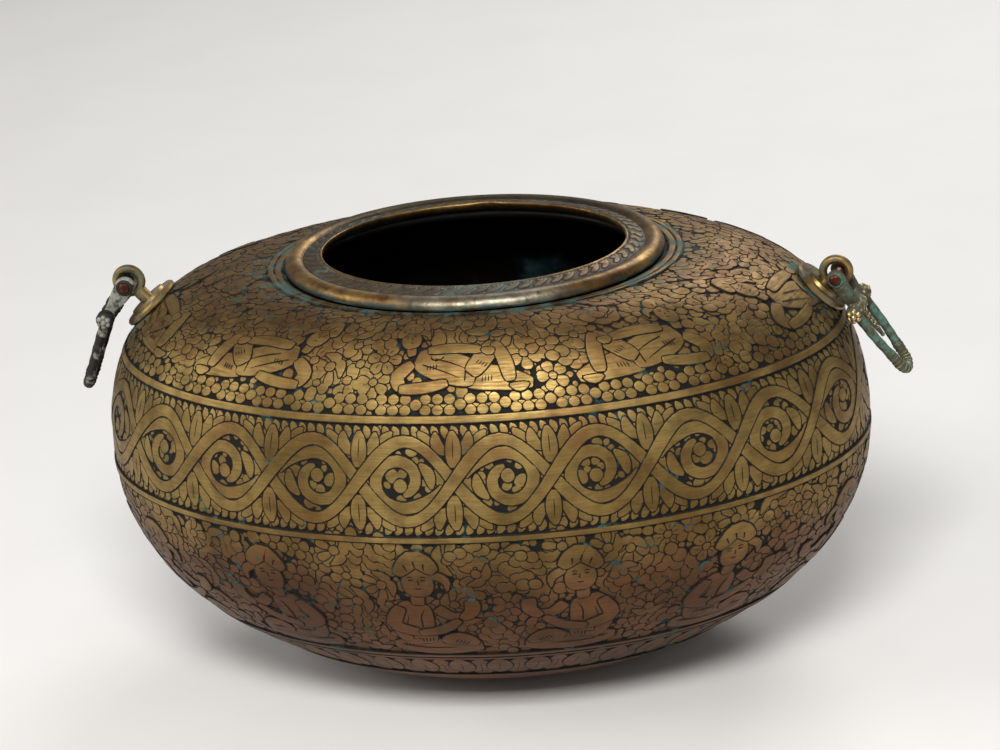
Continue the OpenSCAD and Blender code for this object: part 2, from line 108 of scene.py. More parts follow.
def way_up(height):
    """Distance along the bowl's side from the base's edge to a height."""
    return float(np.interp(height, RINGS[2], RING_WAY))


def ring_at(way):
    """Half length, half width and height of the ring at a way up the side."""
    return [np.interp(way, RING_WAY, table) for table in RINGS]


def slope_at(way):
    """How fast the ring's three sizes change along the way."""
    return [np.interp(way, RING_WAY, table) for table in SLOPES]


print("side of the bowl:", round(RING_WAY[-1], 1), "mm from base to collar")

# %% [markdown]
# ## The bowl's surface
# What is engraved is drawn flat, and then put on the bowl by its angle, its way up the side and its depth.
# Where a boss sits, the surface is pressed flat, as a smith files a seat for it.

# %% Surface of the bowl


def stretch(theta, way):
    """Millimetres per unit of angle and of way at a place on the bowl."""
    c, s = math.cos(theta), math.sin(theta)
    a, b, _ = ring_at(way)
    da, db, dz = slope_at(way)
    return math.hypot(a * s, b * c), math.hypot(da * c, db * s, dz)


def seat_axis(turn, tilt):
    return Vector((math.cos(turn) * math.cos(tilt), math.sin(turn) * math.cos(tilt), math.sin(tilt)))


def flatten_seats(points):
    """Presses what lies under a boss down to the flat that it sits on."""
    for seat, turn, tilt in SEATS:
        axis = np.array(seat_axis(turn, tilt))
        offset = points - np.array(seat)
        height = offset @ axis
        radius = np.linalg.norm(offset - height[:, None] * axis, axis=1)
        under = (radius < SEAT_RADIUS) & (np.abs(height) < SEAT_REACH)
        press = np.where(under, np.clip(height + SEAT_DROP, 0, None), 0)
        points = points - press[:, None] * axis
    return points


def on_skin(theta, way, depth):
    """Points that lie some depth below the bowl's outer surface, in millimetres."""
    a, b, z = ring_at(way)
    da, db, dz = slope_at(way)
    c, s = np.cos(theta), np.sin(theta)
    normal = np.stack([b * c * dz, a * s * dz, -a * db * s * s - b * da * c * c], -1)
    normal /= np.linalg.norm(normal, axis=-1, keepdims=True)
    return flatten_seats(np.stack([a * c, b * s, z], -1) - normal * np.asarray(depth)[..., None])


def surface(theta, way):
    """Points on the bowl's outer surface."""
    return on_skin(np.atleast_1d(theta), np.atleast_1d(way), np.zeros(np.size(theta)))


print("front of the widest line:", surface(-math.pi / 2, way_up(EQUATOR))[0].round(1))

# %% [markdown]
# ## Helpers
# A grid from `create_grid` is bent to shape, its seams are welded and its normals turned outwards. Most
# pieces start like this, because a grid keeps its rows and columns in a known order.

# %% Mesh helpers


def add_object(name, bm, materials):
    mesh = bpy.data.meshes.new(name)
    bm.to_mesh(mesh)
    bm.free()
    for material in materials:
        mesh.materials.append(material)
    obj = bpy.data.objects.new(name, mesh)
    bpy.context.scene.collection.objects.link(obj)
    return obj


def finish_piece(name, bm, materials, body, node=None):
    """A smooth piece that rides on a body, and may take the place of a solid."""
    for face in bm.faces:
        face.smooth = True
    piece = add_object(name, bm, materials)
    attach(piece, body)
    if node:
        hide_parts(node)
    return piece


def grid(columns, rows):
    bm = bmesh.new()
    bmesh.ops.create_grid(bm, x_segments=columns, y_segments=rows, size=1)
    return bm


def set_points(bm, points):
    for vert, point in zip(bm.verts, points):
        vert.co = point


def set_values(bm, name, values):
    """Keeps a number with each point, for a material to read."""
    layer = bm.verts.layers.float.new(name)
    for vert, value in zip(bm.verts, values):
        vert[layer] = float(value)


def rows_and_angles(rows, segments, start=-math.pi):
    """The row and the angle of each point of a grid that is bent to a ring."""
    row = np.repeat(np.arange(rows), segments + 1)
    return row, np.tile(np.linspace(start, start + math.tau, segments + 1), rows)


def ovals(a, b, z, theta):
    return np.stack([a * np.cos(theta), b * np.sin(theta), z], -1)


def weld(bm):
    bmesh.ops.remove_doubles(bm, verts=bm.verts, dist=1e-6)
    bmesh.ops.recalc_face_normals(bm, faces=bm.faces)


def directions(line):
    """The way a line runs at each of its points."""
    along = np.gradient(line, axis=0)
    return along / np.linalg.norm(along, axis=1, keepdims=True)


def polar(radius, angle):
    return np.array([radius * math.cos(angle), radius * math.sin(angle)])


print("mesh helpers are ready")

# %% [markdown]
# ## Writing materials
# A material is a small graph of nodes. This class writes one in short lines: noise in millimetres, smooth
# ramps, mixes, and the values that the meshes keep with their points.

# %% Shader helpers


def srgb(red, green, blue):
    """A colour as it looks on screen, from 0 to 255, as the numbers that a shader works with."""
    parts = [c / 255 for c in (red, green, blue)]
    return tuple(c / 12.92 if c <= 0.04045 else ((c + 0.055) / 1.055) ** 2.4 for c in parts) + (1.0,)


class Shader:
    """A short way to write a material's nodes."""

    def __init__(self, name):
        self.material = bpy.data.materials.new(name)
        self.material.use_nodes = True
        self.tree = self.material.node_tree
        self.surface = self.tree.nodes["Principled BSDF"]
        self.place = self.node("ShaderNodeTexCoord").outputs["Object"]

    def feed(self, socket, value):
        if isinstance(value, bpy.types.NodeSocket):
            self.tree.links.new(value, socket)
        else:
            socket.default_value = value

    def node(self, kind, *first_inputs, **named_inputs):
        """A new node with its inputs fed, in order or by name."""
        made = self.tree.nodes.new(kind)
        for socket, value in zip(made.inputs, first_inputs):
            self.feed(socket, value)
        for key, value in named_inputs.items():
            self.feed(made.inputs[key.replace("_", " ")], value)
        return made

    def noise(self, size, detail, squash=(1, 1, 1)):
        """Noise with features of a size in millimetres, squeezed along the axes by some factors."""
        mapping = self.node("ShaderNodeMapping", Vector=self.place, Scale=squash)
        texture = self.node("ShaderNodeTexNoise", Vector=mapping.outputs[0], Scale=1000 / size,
                            Detail=detail, Roughness=0.55)
        return texture.outputs["Fac"]

    def ramp(self, value, low, high, start=0.0, end=1.0):
        """Runs smoothly from start to end while a value runs from low to high."""
        made = self.node("ShaderNodeMapRange", Value=value, From_Min=low, From_Max=high, To_Min=start,
                         To_Max=end)
        made.interpolation_type = "SMOOTHSTEP"
        return made.outputs[0]

    def reckon(self, operation, first, second):
        made = self.node("ShaderNodeMath", first, second)
        made.operation = operation
        return made.outputs[0]

    def times(self, first, second):
        return self.reckon("MULTIPLY", first, second)

    def plus(self, first, second):
        return self.reckon("ADD", first, second)

    def minus(self, first, second):
        return self.reckon("SUBTRACT", first, second)

    def larger(self, first, second):
        return self.reckon("MAXIMUM", first, second)

    def ragged(self, value, size, detail, amount, middle=0.0):
        """A value with noise on it, so that what is ramped from it has an uneven edge."""
        return self.plus(value, self.times(self.minus(self.noise(size, detail), middle), amount))

    def mix(self, share, first, second):
        made = self.node("ShaderNodeMix")
        made.data_type = "RGBA"
        self.feed(made.inputs[0], share)
        self.feed(made.inputs[6], first)
        self.feed(made.inputs[7], second)
        return made.outputs[2]

    def stain(self, metal, share, amount, colour):
        return self.mix(self.times(share, amount), metal, colour)

    def along(self, axis):
        """The place along an axis in millimetres."""
        split = self.node("ShaderNodeSeparateXYZ", Vector=self.place)
        return self.times(split.outputs[axis], 1000.0)

    def distance(self, centre):
        """Distance from a place in millimetres."""
        made = self.node("ShaderNodeVectorMath", self.place, [c * MM for c in centre])
        made.operation = "DISTANCE"
        return self.times(made.outputs["Value"], 1000.0)

    def attribute(self, name):
        made = self.node("ShaderNodeAttribute")
        made.attribute_name = name
        return made.outputs["Fac"]

    def bump(self, value, strength, distance):
        made = self.node("ShaderNodeBump", Height=value, Strength=strength, Distance=distance * MM)
        self.feed(self.surface.inputs["Normal"], made.outputs[0])

    def finish(self, colour, metallic, roughness):
        for name, value in (("Base Color", colour), ("Metallic", metallic), ("Roughness", roughness)):
            self.feed(self.surface.inputs[name], value)
        return self.material


print("shader helpers are ready")

# %% [markdown]
# ## Metals of the bowl
# Old brass is never one colour. Each material mixes a clean and a tarnished tone with noise, adds fine
# scratches to the gloss, and lets green copper salts gather where a hand doesn't rub.

# %% Metals of the bowl


def engraved_brass():
    """Brass above, redder below, dark where cut, and green with salts by the collar and the bosses. Painted
    shade darkens it towards the base and towards the collar.
    """
    s = Shader("engraved_brass")
    patches = s.ramp(s.noise(38, 4), 0.35, 0.68)
    bright = s.mix(patches, srgb(162, 136, 82), srgb(122, 98, 54))
    # Redder and darker towards the base: the darkening is painted shade.
    reddish_painted_shade = s.mix(patches, srgb(116, 80, 56), srgb(86, 56, 42))
    low = s.ramp(s.ragged(s.along("Z"), 30, 3, 30.0), 66, 92, 1.0, 0.0)
    # Darker towards the collar: painted shade.
    high = s.ramp(s.ragged(s.along("Z"), 24, 4, 14.0), 126, 142, 0.0, 0.6)
    metal = s.mix(high, s.mix(low, bright, reddish_painted_shade), srgb(112, 80, 47))
    metal = s.stain(metal, s.attribute("tone"), 0.3, srgb(92, 71, 42))
    metal = s.stain(metal, s.ramp(s.noise(7, 5), 0.38, 0.72), 0.55, srgb(76, 58, 34))
    metal = s.stain(metal, s.ramp(s.noise(9, 4, (1, 1, 22)), 0.42, 0.74), 0.45, srgb(82, 64, 38))
    metal = s.stain(metal, s.ramp(s.noise(15, 6), 0.48, 0.68), 0.4, srgb(110, 70, 43))
    teal = s.times(s.ramp(s.noise(5, 5), 0.56, 0.68), s.ramp(s.noise(40, 3), 0.45, 0.6, 0.1, 0.8))
    filling = s.mix(teal, srgb(25, 23, 20), srgb(50, 88, 84))
    cut = s.ramp(s.ragged(s.attribute("cut"), 1.6, 2, 0.5, 0.5), 0.22, 0.5)
    salts = s.ramp(s.along("Z"), 135.9, 136.8, 0.0, 0.65)
    for seat, _, _ in SEATS:
        salts = s.larger(salts, s.ramp(s.distance(seat), 10.5, 15.0, 0.9, 0.0))
    salts = s.times(salts, s.ramp(s.noise(6, 5), 0.44, 0.6))
    dull = s.larger(cut, salts)
    streaks = s.noise(6, 3, (1, 1, 14))
    roughness = s.plus(s.times(dull, 0.2), s.ramp(streaks, 0.3, 0.7, 0.44, 0.62))
    s.surface.inputs["Specular IOR Level"].default_value = 0.15
    s.bump(streaks, 0.35, 0.12)
    colour = s.mix(salts, s.mix(cut, metal, filling), srgb(56, 90, 88))
    return s.finish(colour, s.minus(0.95, s.times(dull, 0.85)), roughness)


def inside_brass():
    """Painted shade inside: near-black brown all over, with one patch of blue-green salts on the far wall."""
    s = Shader("inside_brass")
    patches = s.ramp(s.noise(26, 5), 0.4, 0.66)
    # The near-black brown is painted shade.
    brown = s.mix(patches, srgb(26, 20, 15), srgb(13, 12, 11))
    teal = s.ramp(s.ragged(s.distance((13, 75, 92)), 11, 5, 26.0), 19, 31, 1.0, 0.0)
    salts = s.larger(teal, s.times(s.ramp(s.noise(9, 6), 0.58, 0.7), 0.12))
    s.bump(s.noise(4, 4), 0.4, 0.3)
    colour = s.mix(salts, brown, srgb(74, 112, 118))
    return s.finish(colour, s.ramp(salts, 0, 1, 0.7, 0.1), s.ramp(patches, 0, 1, 0.5, 0.7))


def worn_brass():
    """The collar: brown brass, with a painted silvery highlight in front and painted shade towards the back
    that leaves the inner edge bright, and green in its grooves.
    """
    s = Shader("worn_brass")
    patches = s.ramp(s.noise(22, 4), 0.36, 0.66)
    metal = s.mix(patches, srgb(150, 120, 70), srgb(104, 78, 44))
    metal = s.stain(metal, s.ramp(s.noise(13, 5), 0.48, 0.66), 0.5, srgb(122, 76, 42))
    # A painted highlight: a silvery patch on the front of the collar.
    front = s.ramp(s.ragged(s.distance((6, -51, 139)), 8, 5, 24.0), 24, 46, 0.85, 0.0)
    metal = s.mix(front, metal, srgb(148, 143, 126))
    metal = s.stain(metal, s.ramp(s.noise(9, 5), 0.4, 0.7), 0.7, srgb(70, 54, 34))
    metal = s.stain(metal, s.ramp(s.noise(2.6, 5), 0.5, 0.72), 0.6, srgb(58, 46, 30))
    metal = s.stain(metal, s.ramp(s.attribute("tone"), 0.0, 0.02), 0.6, srgb(72, 62, 40))
    low = s.times(s.ramp(s.along("Z"), 138.2, 139.8, 0.9, 0.0), s.ramp(s.noise(10, 5), 0.42, 0.6))
    metal = s.mix(low, metal, srgb(60, 88, 86))
    # Painted shade: darker towards the back of the collar, except on the inner edge, where rub is set.
    back = s.times(s.ramp(s.along("Y"), 4, 42, 0.0, 0.8), s.minus(1.0, s.attribute("rub")))
    metal = s.mix(back, metal, srgb(54, 52, 42))
    filling = s.mix(s.ramp(s.noise(12, 5), 0.5, 0.66), srgb(40, 35, 26), srgb(58, 84, 80))
    cut = s.ramp(s.ragged(s.attribute("cut"), 2, 3, 0.6, 0.5), 0.25, 0.6)
    s.bump(s.noise(3.2, 5), 0.5, 0.3)
    roughness = s.plus(s.times(cut, 0.2), s.ramp(s.noise(5, 3), 0.3, 0.7, 0.34, 0.52))
    return s.finish(s.mix(cut, metal, filling), s.ramp(cut, 0, 1, 0.95, 0.2), roughness)


ENGRAVED = engraved_brass()
INSIDE = inside_brass()
WORN_WITH_PAINTED_LIGHT = worn_brass()
print("metals of the bowl:", ENGRAVED.name, INSIDE.name, WORN_WITH_PAINTED_LIGHT.name)

# %% [markdown]
# ## Metals of the handles
# Bosses and eyes are brass, rivets are copper, and the links and bails are cast bronze. Bronze keeps its
# patina in the hollows and shines where it is rubbed.

# %% Metals of the handles


def fitting_brass():
    s = Shader("fitting_brass")
    patches = s.ramp(s.noise(9, 4), 0.38, 0.64)
    teal = s.times(s.ramp(s.noise(4, 5), 0.48, 0.64), 0.7)
    metal = s.mix(patches, srgb(156, 130, 82), srgb(92, 72, 44))
    s.bump(s.noise(2.5, 4), 0.5, 0.25)
    colour = s.mix(teal, metal, srgb(62, 84, 74))
    return s.finish(colour, s.ramp(teal, 0, 0.7, 0.95, 0.3), s.ramp(patches, 0, 1, 0.38, 0.6))


def copper():
    s = Shader("copper")
    patches = s.ramp(s.noise(2.5, 4), 0.36, 0.66)
    metal = s.mix(patches, srgb(108, 60, 42), srgb(58, 34, 26))
    s.bump(s.noise(1.2, 3), 0.4, 0.12)
    return s.finish(metal, 0.9, s.ramp(patches, 0, 1, 0.36, 0.55))


def bronze(name, dark, patina, gold, edge):
    """Cast bronze: bright where the value called rub is high, and more patina where it is below zero."""
    s = Shader(name)
    rub = s.attribute("rub")
    patches = s.ramp(s.minus(s.noise(4, 5), s.times(rub, 0.25)), edge, edge + 0.14)
    soil = s.ramp(s.noise(1.3, 5), 0.46, 0.7)
    body = s.stain(s.mix(patches, dark, patina), soil, 0.55, srgb(52, 44, 36))
    shine = s.ramp(s.ragged(rub, 1.8, 4, 1.2, 0.5), 0.45, 0.95)
    s.bump(s.noise(1.5, 5), 0.8, 0.4)
    roughness = s.ramp(shine, 0, 1, 0.66, 0.38)
    return s.finish(s.mix(shine, body, gold), s.ramp(shine, 0, 1, 0.35, 0.95), roughness)


FITTINGS = fitting_brass()
COPPER = copper()
LEFT_BRONZE = bronze("left_bronze", srgb(31, 29, 26), srgb(142, 145, 132), srgb(138, 130, 110), 0.57)
RIGHT_BRONZE = bronze("right_bronze", srgb(76, 74, 56), srgb(82, 116, 100), srgb(182, 164, 122), 0.46)
print("metals of the handles:", FITTINGS.name, COPPER.name, LEFT_BRONZE.name, RIGHT_BRONZE.name)

# %% [markdown]
# ## The bowl's ground
# The engraver cuts the ground away and leaves the pattern standing, so the bowl itself is the sunken ground.
# One closed skin runs from the middle of the base up to the mouth, over the edge and down inside. The base
# is plain.

# %% Bowl shell
BOWL_SEGMENTS = 192
BOWL_ROWS = 72


def bowl_rows():
    """Sections of the skin, the way up the side of each (-1 off the side), and where the inside starts."""
    ways = np.linspace(0, RING_WAY[-1], BOWL_ROWS)
    side = list(zip(*ring_at(ways)))
    foot = side[0]
    base = [(k * foot[0], k * foot[1], PLAIN_DEPTH) for k in (0.0, 0.5, 0.9)]
    edge = [(*HOLE_HALF, COLLAR_BASE), (*HOLE_HALF, COLLAR_BASE - WALL)]
    floor = [(k * foot[0], k * foot[1], WALL) for k in (0.6, 0.0)]
    sections = base + side + edge + side[-2::-1] + floor
    row_ways = np.concatenate([[-1] * len(base), ways, [-1] * len(edge), ways[-2::-1], [-1] * len(floor)])
    return np.array(sections), row_ways, len(base) + len(side)


def bowl_shell():
    sections, row_ways, inner = bowl_rows()
    row, theta = rows_and_angles(len(sections), BOWL_SEGMENTS)
    way = row_ways[row]
    engraved = way >= way_up(PLAIN_LINE)
    depth = np.where(row < inner, np.where(engraved, GROUND_DEPTH, PLAIN_DEPTH), WALL)
    points = ovals(*sections[row].T, theta)
    skin = way >= 0
    points[skin] = on_skin(theta[skin], way[skin], depth[skin])
    bm = grid(BOWL_SEGMENTS, len(sections) - 1)
    set_points(bm, points * MM)
    for face in bm.faces:
        lowest = min(row[v.index] for v in face.verts)
        face.material_index = int(lowest >= inner - 1)
    set_values(bm, "cut", engraved)
    weld(bm)
    bowl = finish_piece("bowl", bm, [ENGRAVED, INSIDE], "root", "bowl_shell")
    print("bowl:", len(bowl.data.polygons), "faces")


bowl_shell()

# %% [markdown]
# ## Strokes
# Every leaf, petal and stem is a stroke: a line with a width that swells and tapers, as a graver leaves it.
# Two powers say where it is widest. A motif is a list of strokes, drawn flat in millimetres.

# %% Strokes
LOBE = (0.5, 0.5)
PETAL = (0.75, 0.38)
LEAF = (0.8, 0.85)
COMMA = (0.38, 1.0)
STEM = (0.1, 0.1)
WHIP = (0.12, 0.5)


def shares(count):
    return (1 - np.cos(np.linspace(0.12, 0.88, count) * math.pi)) / 2


def swell(count, form, half_width):
    """Half widths along a stroke, largest where the two powers balance."""
    t = shares(count)
    rise, fall = form
    peak = rise / (rise + fall)
    top = peak ** rise * (1 - peak) ** fall
    return half_width * t ** rise * (1 - t) ** fall / top


def spline(knots, count):
    """A smooth line through a few points, with its samples crowded towards the ends."""
    knots = np.array(knots, float)
    ends = np.vstack([2 * knots[0] - knots[1], knots, 2 * knots[-1] - knots[-2]])
    t = shares(count) * (len(knots) - 1)
    i = np.minimum(t.astype(int), len(knots) - 2)
    u = (t - i)[:, None]
    p0, p1, p2, p3 = ends[i], ends[i + 1], ends[i + 2], ends[i + 3]
    return 0.5 * (2 * p1 + (p2 - p0) * u + (2 * p0 - 5 * p1 + 4 * p2 - p3) * u ** 2
                  + (3 * p1 - p0 - 3 * p2 + p3) * u ** 3)


def mark(knots, half_width, form, level, count, ink=False):
    """One stroke of a motif, in the motif's own millimetres."""
    return spline(knots, count), swell(count, form, half_width), level, ink


def turning(angle, scale):
    c, s = math.cos(angle) * scale, math.sin(angle) * scale
    return np.array([[c, s], [-s, c]])


def turned(marks, angle, scale=1.0, shift=(0, 0)):
    """A copy of some marks, turned, scaled and moved."""
    turn = turning(angle, scale)
    return [(line @ turn + shift, width * scale, level, ink) for line, width, level, ink in marks]


def flipped(marks):
    return [(line * (-1, 1), width, level, ink) for line, width, level, ink in marks]


def place_at(theta, way, angle=0.0, scale=1.0):
    """How a motif's millimetres lie on the bowl around one place."""
    round_mm, up_mm = stretch(theta, way)
    turn = turning(angle, scale)

    def lay(points):
        moved = points @ turn
        return theta + moved[..., 0] / round_mm, way + moved[..., 1] / up_mm

    return lay


print("widest part of a leaf of six points:", swell(6, LEAF, 1.0).max().round(2))

# %% [markdown]
# ## From strokes to a mesh
# A raised stroke is a small bent grid with a flat top, a dark line along its edge and a foot in the ground.
# Strokes on a higher level draw their dark line over the ones below. A band's strokes make one piece.

# %% Engraving
LINE = 0.66
FOOT = 0.12
TOP_DEPTH = 0.62
LEVEL_STEP = 0.06
LINE_DROP = 0.04
FOOT_DEPTH = GROUND_DEPTH + 0.08
INK_LIFT = 0.015
CUT_ACROSS = np.array([1.0, 1.0, 0.0, 0.0, 1.0, 1.0])


def spread(rows, along, offset):
    """Points across a line, at some offsets from each of its rows."""
    across = np.stack([along[:, 1], -along[:, 0]], 1)
    return rows[:, None, :] + offset[:, :, None] * across[:, None, :]


def ribbon(line, half_widths, level):
    """A raised stroke: rows of six points across, with two closing rows at each end."""
    along = directions(line)
    first, last = along[:1], along[-1:]
    reach = np.array([[LINE + FOOT], [LINE]])
    rows = np.vstack([line[:1] - reach * first, line, line[-1:] + reach[::-1] * last])
    half = np.concatenate([[0, half_widths[0] * 0.5], half_widths, [half_widths[-1] * 0.5, 0]])
    side = np.stack([half + LINE + FOOT, half + LINE, half], 1)
    side[[0, 1, -2, -1]] *= np.array([0.45, 0.75, 0.75, 0.45])[:, None]
    offset = np.hstack([-side, side[:, ::-1]])
    points = spread(rows, np.pad(along, ((2, 2), (0, 0)), "edge"), offset)
    return points, *ribbon_depths(len(line), level)


def ribbon_depths(count, level):
    """How deep the points of a raised stroke lie, and which of them are cut."""
    levels = np.broadcast_to(np.asarray(level, float), (count,))
    top = np.pad(TOP_DEPTH - LEVEL_STEP * levels, 2, "edge")[:, None]
    foot = np.full(top.shape, FOOT_DEPTH)
    depth = np.hstack([foot, top + LINE_DROP, top, top, top + LINE_DROP, foot])
    depth[[1, -2], 1:5] = top[[1, -2]] + LINE_DROP
    depth[[0, -1]] = FOOT_DEPTH
    cut = np.tile(CUT_ACROSS, (len(top), 1))
    cut[[0, 1, -2, -1]] = 1.0
    return depth, cut


def thread(line, half_widths, level):
    """A thin dark line: rows of two points across."""
    points = spread(line, directions(line), np.stack([-half_widths, half_widths], 1))
    return points, TOP_DEPTH - LEVEL_STEP * level - INK_LIFT, 1.0


@cache
def blank(shape):
    """A flat grid with the rows and columns of a stroke, made once for each shape."""
    bm = grid(shape[1] - 1, shape[0] - 1)
    mesh = bpy.data.meshes.new("blank")
    bm.to_mesh(mesh)
    bm.free()
    return mesh


class Engraving:
    """Gathers strokes on the bowl and makes one piece of them."""

    def __init__(self, skin=on_skin, material=ENGRAVED, slot="engraved_brass"):
        self.blocks = []
        self.skin = skin
        self.material = material
        self.slot = slot

    def add(self, lay, marks, lift=0):
        """Lays a motif's strokes, all in one tone."""
        tone = dice.random()
        for line, half_widths, level, ink in marks:
            stroke = thread if ink else ribbon
            points, depth, cut = stroke(line, half_widths, level + lift)
            self.add_block(*lay(points), depth, cut, tone)

    def add_block(self, theta, way, depth, cut, tone):
        values = np.broadcast_arrays(theta, way, depth, cut, tone)
        self.blocks.append((values[0].shape, *(v.ravel() for v in values)))

    def build_halves(self, name):
        """Two pieces, one for the bowl's front and one for its back."""
        blocks = self.blocks
        for half, behind in (("front", False), ("back", True)):
            self.blocks = [b for b in blocks if (math.sin(b[1].mean()) > 0) == behind]
            self.build(name + "_" + half)

    def build(self, name):
        shapes, *columns = zip(*self.blocks)
        theta, way, depth, cut, tone = (np.concatenate(column) for column in columns)
        bm = bmesh.new()
        for shape in shapes:
            bm.from_mesh(blank(shape))
        set_points(bm, self.skin(theta, way, depth) * MM)
        piece = finish_piece(name, bm, [self.material], "root")
        for key, values in (("cut", cut), ("tone", tone)):
            layer = piece.data.attributes.new(key, "FLOAT", "POINT")
            layer.data.foreach_set("value", values.astype(np.float32))
        print(name + ":", len(shapes), "strokes,", len(piece.data.polygons), "faces")


print("engraving lies up to", GROUND_DEPTH, "mm deep")

# %% [markdown]
# ## Motifs
# The carpet of the bowl is made of a few traditional forms: rosettes, bunches of scales, flowers from the
# side, sprigs with paired lobes, and leaves. Petals next to each other lie on different levels, so a line
# parts them.

# %% Motifs


def ray(radius, angle, parts):
    return [polar(radius * part, angle) for part in parts]


def lobe(centre, radius, level, angle=0.0, longer=1.0):
    tip = polar(radius * longer, angle)
    return mark([np.array(centre) - tip, centre, np.array(centre) + tip], radius, LOBE, level, 7)


def rosette(petals, radius, veins=False):
    marks = []
    half = radius * min(0.62 * math.sin(math.pi / petals), 0.36) - 0.22
    for k in range(petals):
        angle = math.tau * k / petals
        level = k % 2 + (k == petals - 1) * (petals % 2)
        marks.append(mark(ray(radius, angle, (0.2, 0.6, 0.96)), half, PETAL, level, 7))
        if veins:
            marks.append(mark(ray(radius, angle, (0.4, 0.72)), 0.13, LOBE, 2, 4, True))
    return marks + [lobe((0, 0), radius * 0.2, 3)]


def bunch(rows, radius):
    """Lobes that overlap like scales, fewer in each row towards the tip."""
    marks = []
    for k in range(rows):
        count = rows - k + 1
        for i in range(count):
            centre = ((i - (count - 1) / 2) * radius * 1.75, (k - rows / 2) * radius * 1.5)
            marks.append(lobe(centre, radius * dice.uniform(0.9, 1.06), k + i % 2, math.pi / 2, 1.15))
    return marks + [lobe((0, radius * (1.5 * rows / 2 + 0.4)), radius * 0.9, rows + 1, math.pi / 2, 1.2)]


def fan(petals, radius):
    """A flower from the side: a fan of petals over a cup of two leaves."""
    marks = []
    for k in range(petals):
        knots = ray(radius, math.radians(15 + 150 * k / (petals - 1)), (0.25, 0.65, 1))
        marks.append(mark(knots, radius * 1.15 / petals, PETAL, 2 - abs(2 * k - petals + 1) // 2 % 2, 7))
    for side in (-1, 1):
        cup = [(0, -0.35), (side * 0.4, -0.25), (side * 0.8, 0.02)]
        marks.append(mark(np.array(cup) * radius, radius * 0.2, COMMA, 3, 7))
    return marks + [lobe((0, 0.1 * radius), radius * 0.2, 4)]


def sprig(length, pairs):
    marks = [mark([(0, 0), (0.06 * length, 0.5 * length), (0, length)], 0.45, STEM, 0, 9)]
    for k in range(pairs):
        rise = length * (k + 0.35) / (pairs + 0.2)
        marks += [lobe((side * 1.7, rise + 0.5), 1.45, 1 + k % 2) for side in (-1, 1)]
    return marks + [lobe((0, length + 0.6), 1.5, 3)]


def leaf(length, half_width):
    vein = [(0, 0.22 * length), (0, 0.5 * length), (0.05 * length, 0.82 * length)]
    blade = [(0, 0), (0, 0.5 * length), (0, length)]
    return [mark(blade, half_width, LEAF, 1, 9), mark(vein, 0.14, LOBE, 1, 6, True)]


print("strokes in a rosette, a fan and a sprig:", len(rosette(6, 5)), len(fan(5, 6)), len(sprig(12, 3)))

# %% [markdown]
# ## Figures
# Figures sit and recline among the flowers. Each is built from a few swelling strokes: robe, arms, head and
# turban. The face is a plain, calm one of our own, with thin dark lines for brows, eyes, nose and mouth.

# %% Figures


def face_lines(level):
    strokes = [
        ([(-2.2, 1.5), (-1.4, 1.8), (-0.7, 1.5)], 0.16), ([(0.6, 1.5), (1.3, 1.8), (2.1, 1.5)], 0.16),
        ([(-2.0, 0.7), (-1.4, 0.9), (-0.8, 0.7)], 0.2), ([(0.7, 0.7), (1.3, 0.9), (1.9, 0.7)], 0.2),
        ([(0.0, 1.0), (0.3, -0.2), (-0.1, -0.6)], 0.14), ([(-0.8, -1.6), (0.0, -1.8), (0.8, -1.6)], 0.16),
    ]
    return [mark(knots, half, LOBE, level, 5, True) for knots, half in strokes]


def folds(level, *knot_lists):
    return [mark(knots, 0.2, WHIP, level, 7, True) for knots in knot_lists]


def hatch(place, angle, level):
    """Four short lines side by side, as an engraver shades a robe."""
    marks = [mark([(0.9 * k, 0), (0.9 * k + 0.5, 1.7)], 0.17, LOBE, level, 4, True) for k in range(4)]
    return turned(marks, angle, 1.0, place)


def head():
    """A head with a turban, round the middle of the face."""
    marks = [
        mark([(-0.9, -6.9), (-0.4, -2.9)], 1.3, STEM, 8, 5),
        mark([(0, -4.2), (0, 0), (0, 4.0)], 3.3, (0.42, 0.5), 9, 10),
        mark([(-4.6, 2.2), (0, 6.8), (4.4, 3.0)], 2.1, (0.45, 0.4), 10, 10),
        mark([(3.4, 2.6), (6.2, 0.6), (6.4, -2.4)], 0.9, COMMA, 9, 7),
    ]
    marks += folds(10, [(-2.6, 5.2), (-1.8, 3.2)], [(-0.4, 6.2), (0, 4.0)], [(1.8, 5.6), (1.8, 3.6)])
    return marks + face_lines(9)


def seated_figure():
    marks = [
        mark([(-11, 3), (0, 2.2), (13, 3.2)], 3.6, (0.4, 0.3), 6, 11),
        mark([(2.5, 4.6), (7.0, 6.2), (11.6, 3.6)], 2.4, LOBE, 7, 9),
        mark([(-2.5, 3.5), (-3.5, 11), (-1.2, 20.5)], 5.0, (0.25, 0.3), 7, 11),
        mark([(-5, 19), (-7.8, 12), (-1.5, 8.6)], 1.7, (0.25, 0.2), 9, 10),
        mark([(-2.6, 8.7), (3.5, 10.4), (8.2, 14.2)], 1.2, (0.2, 0.3), 10, 9),
        mark([(3.2, 18.4), (6.6, 15.4), (10.6, 16.4)], 1.3, WHIP, 8, 9),
        mark([(8.6, 14.4), (11.2, 17.2), (11.4, 20.8)], 1.5, (0.3, 0.12), 9, 8),
    ]
    marks += folds(6, [(-9, 3.4), (-2, 1.6), (7, 2)])
    marks += folds(7, [(-4.4, 6), (-5, 11), (-3.6, 16)], [(-1.2, 11), (-0.9, 15), (0.4, 18)])
    marks += hatch((-7.4, 2.0), 0.3, 6) + hatch((5.6, 4.6), -0.4, 7) + hatch((-2.4, 4.6), 0.2, 7)
    return marks + turned(head(), 0, 1, (0, 26.4))


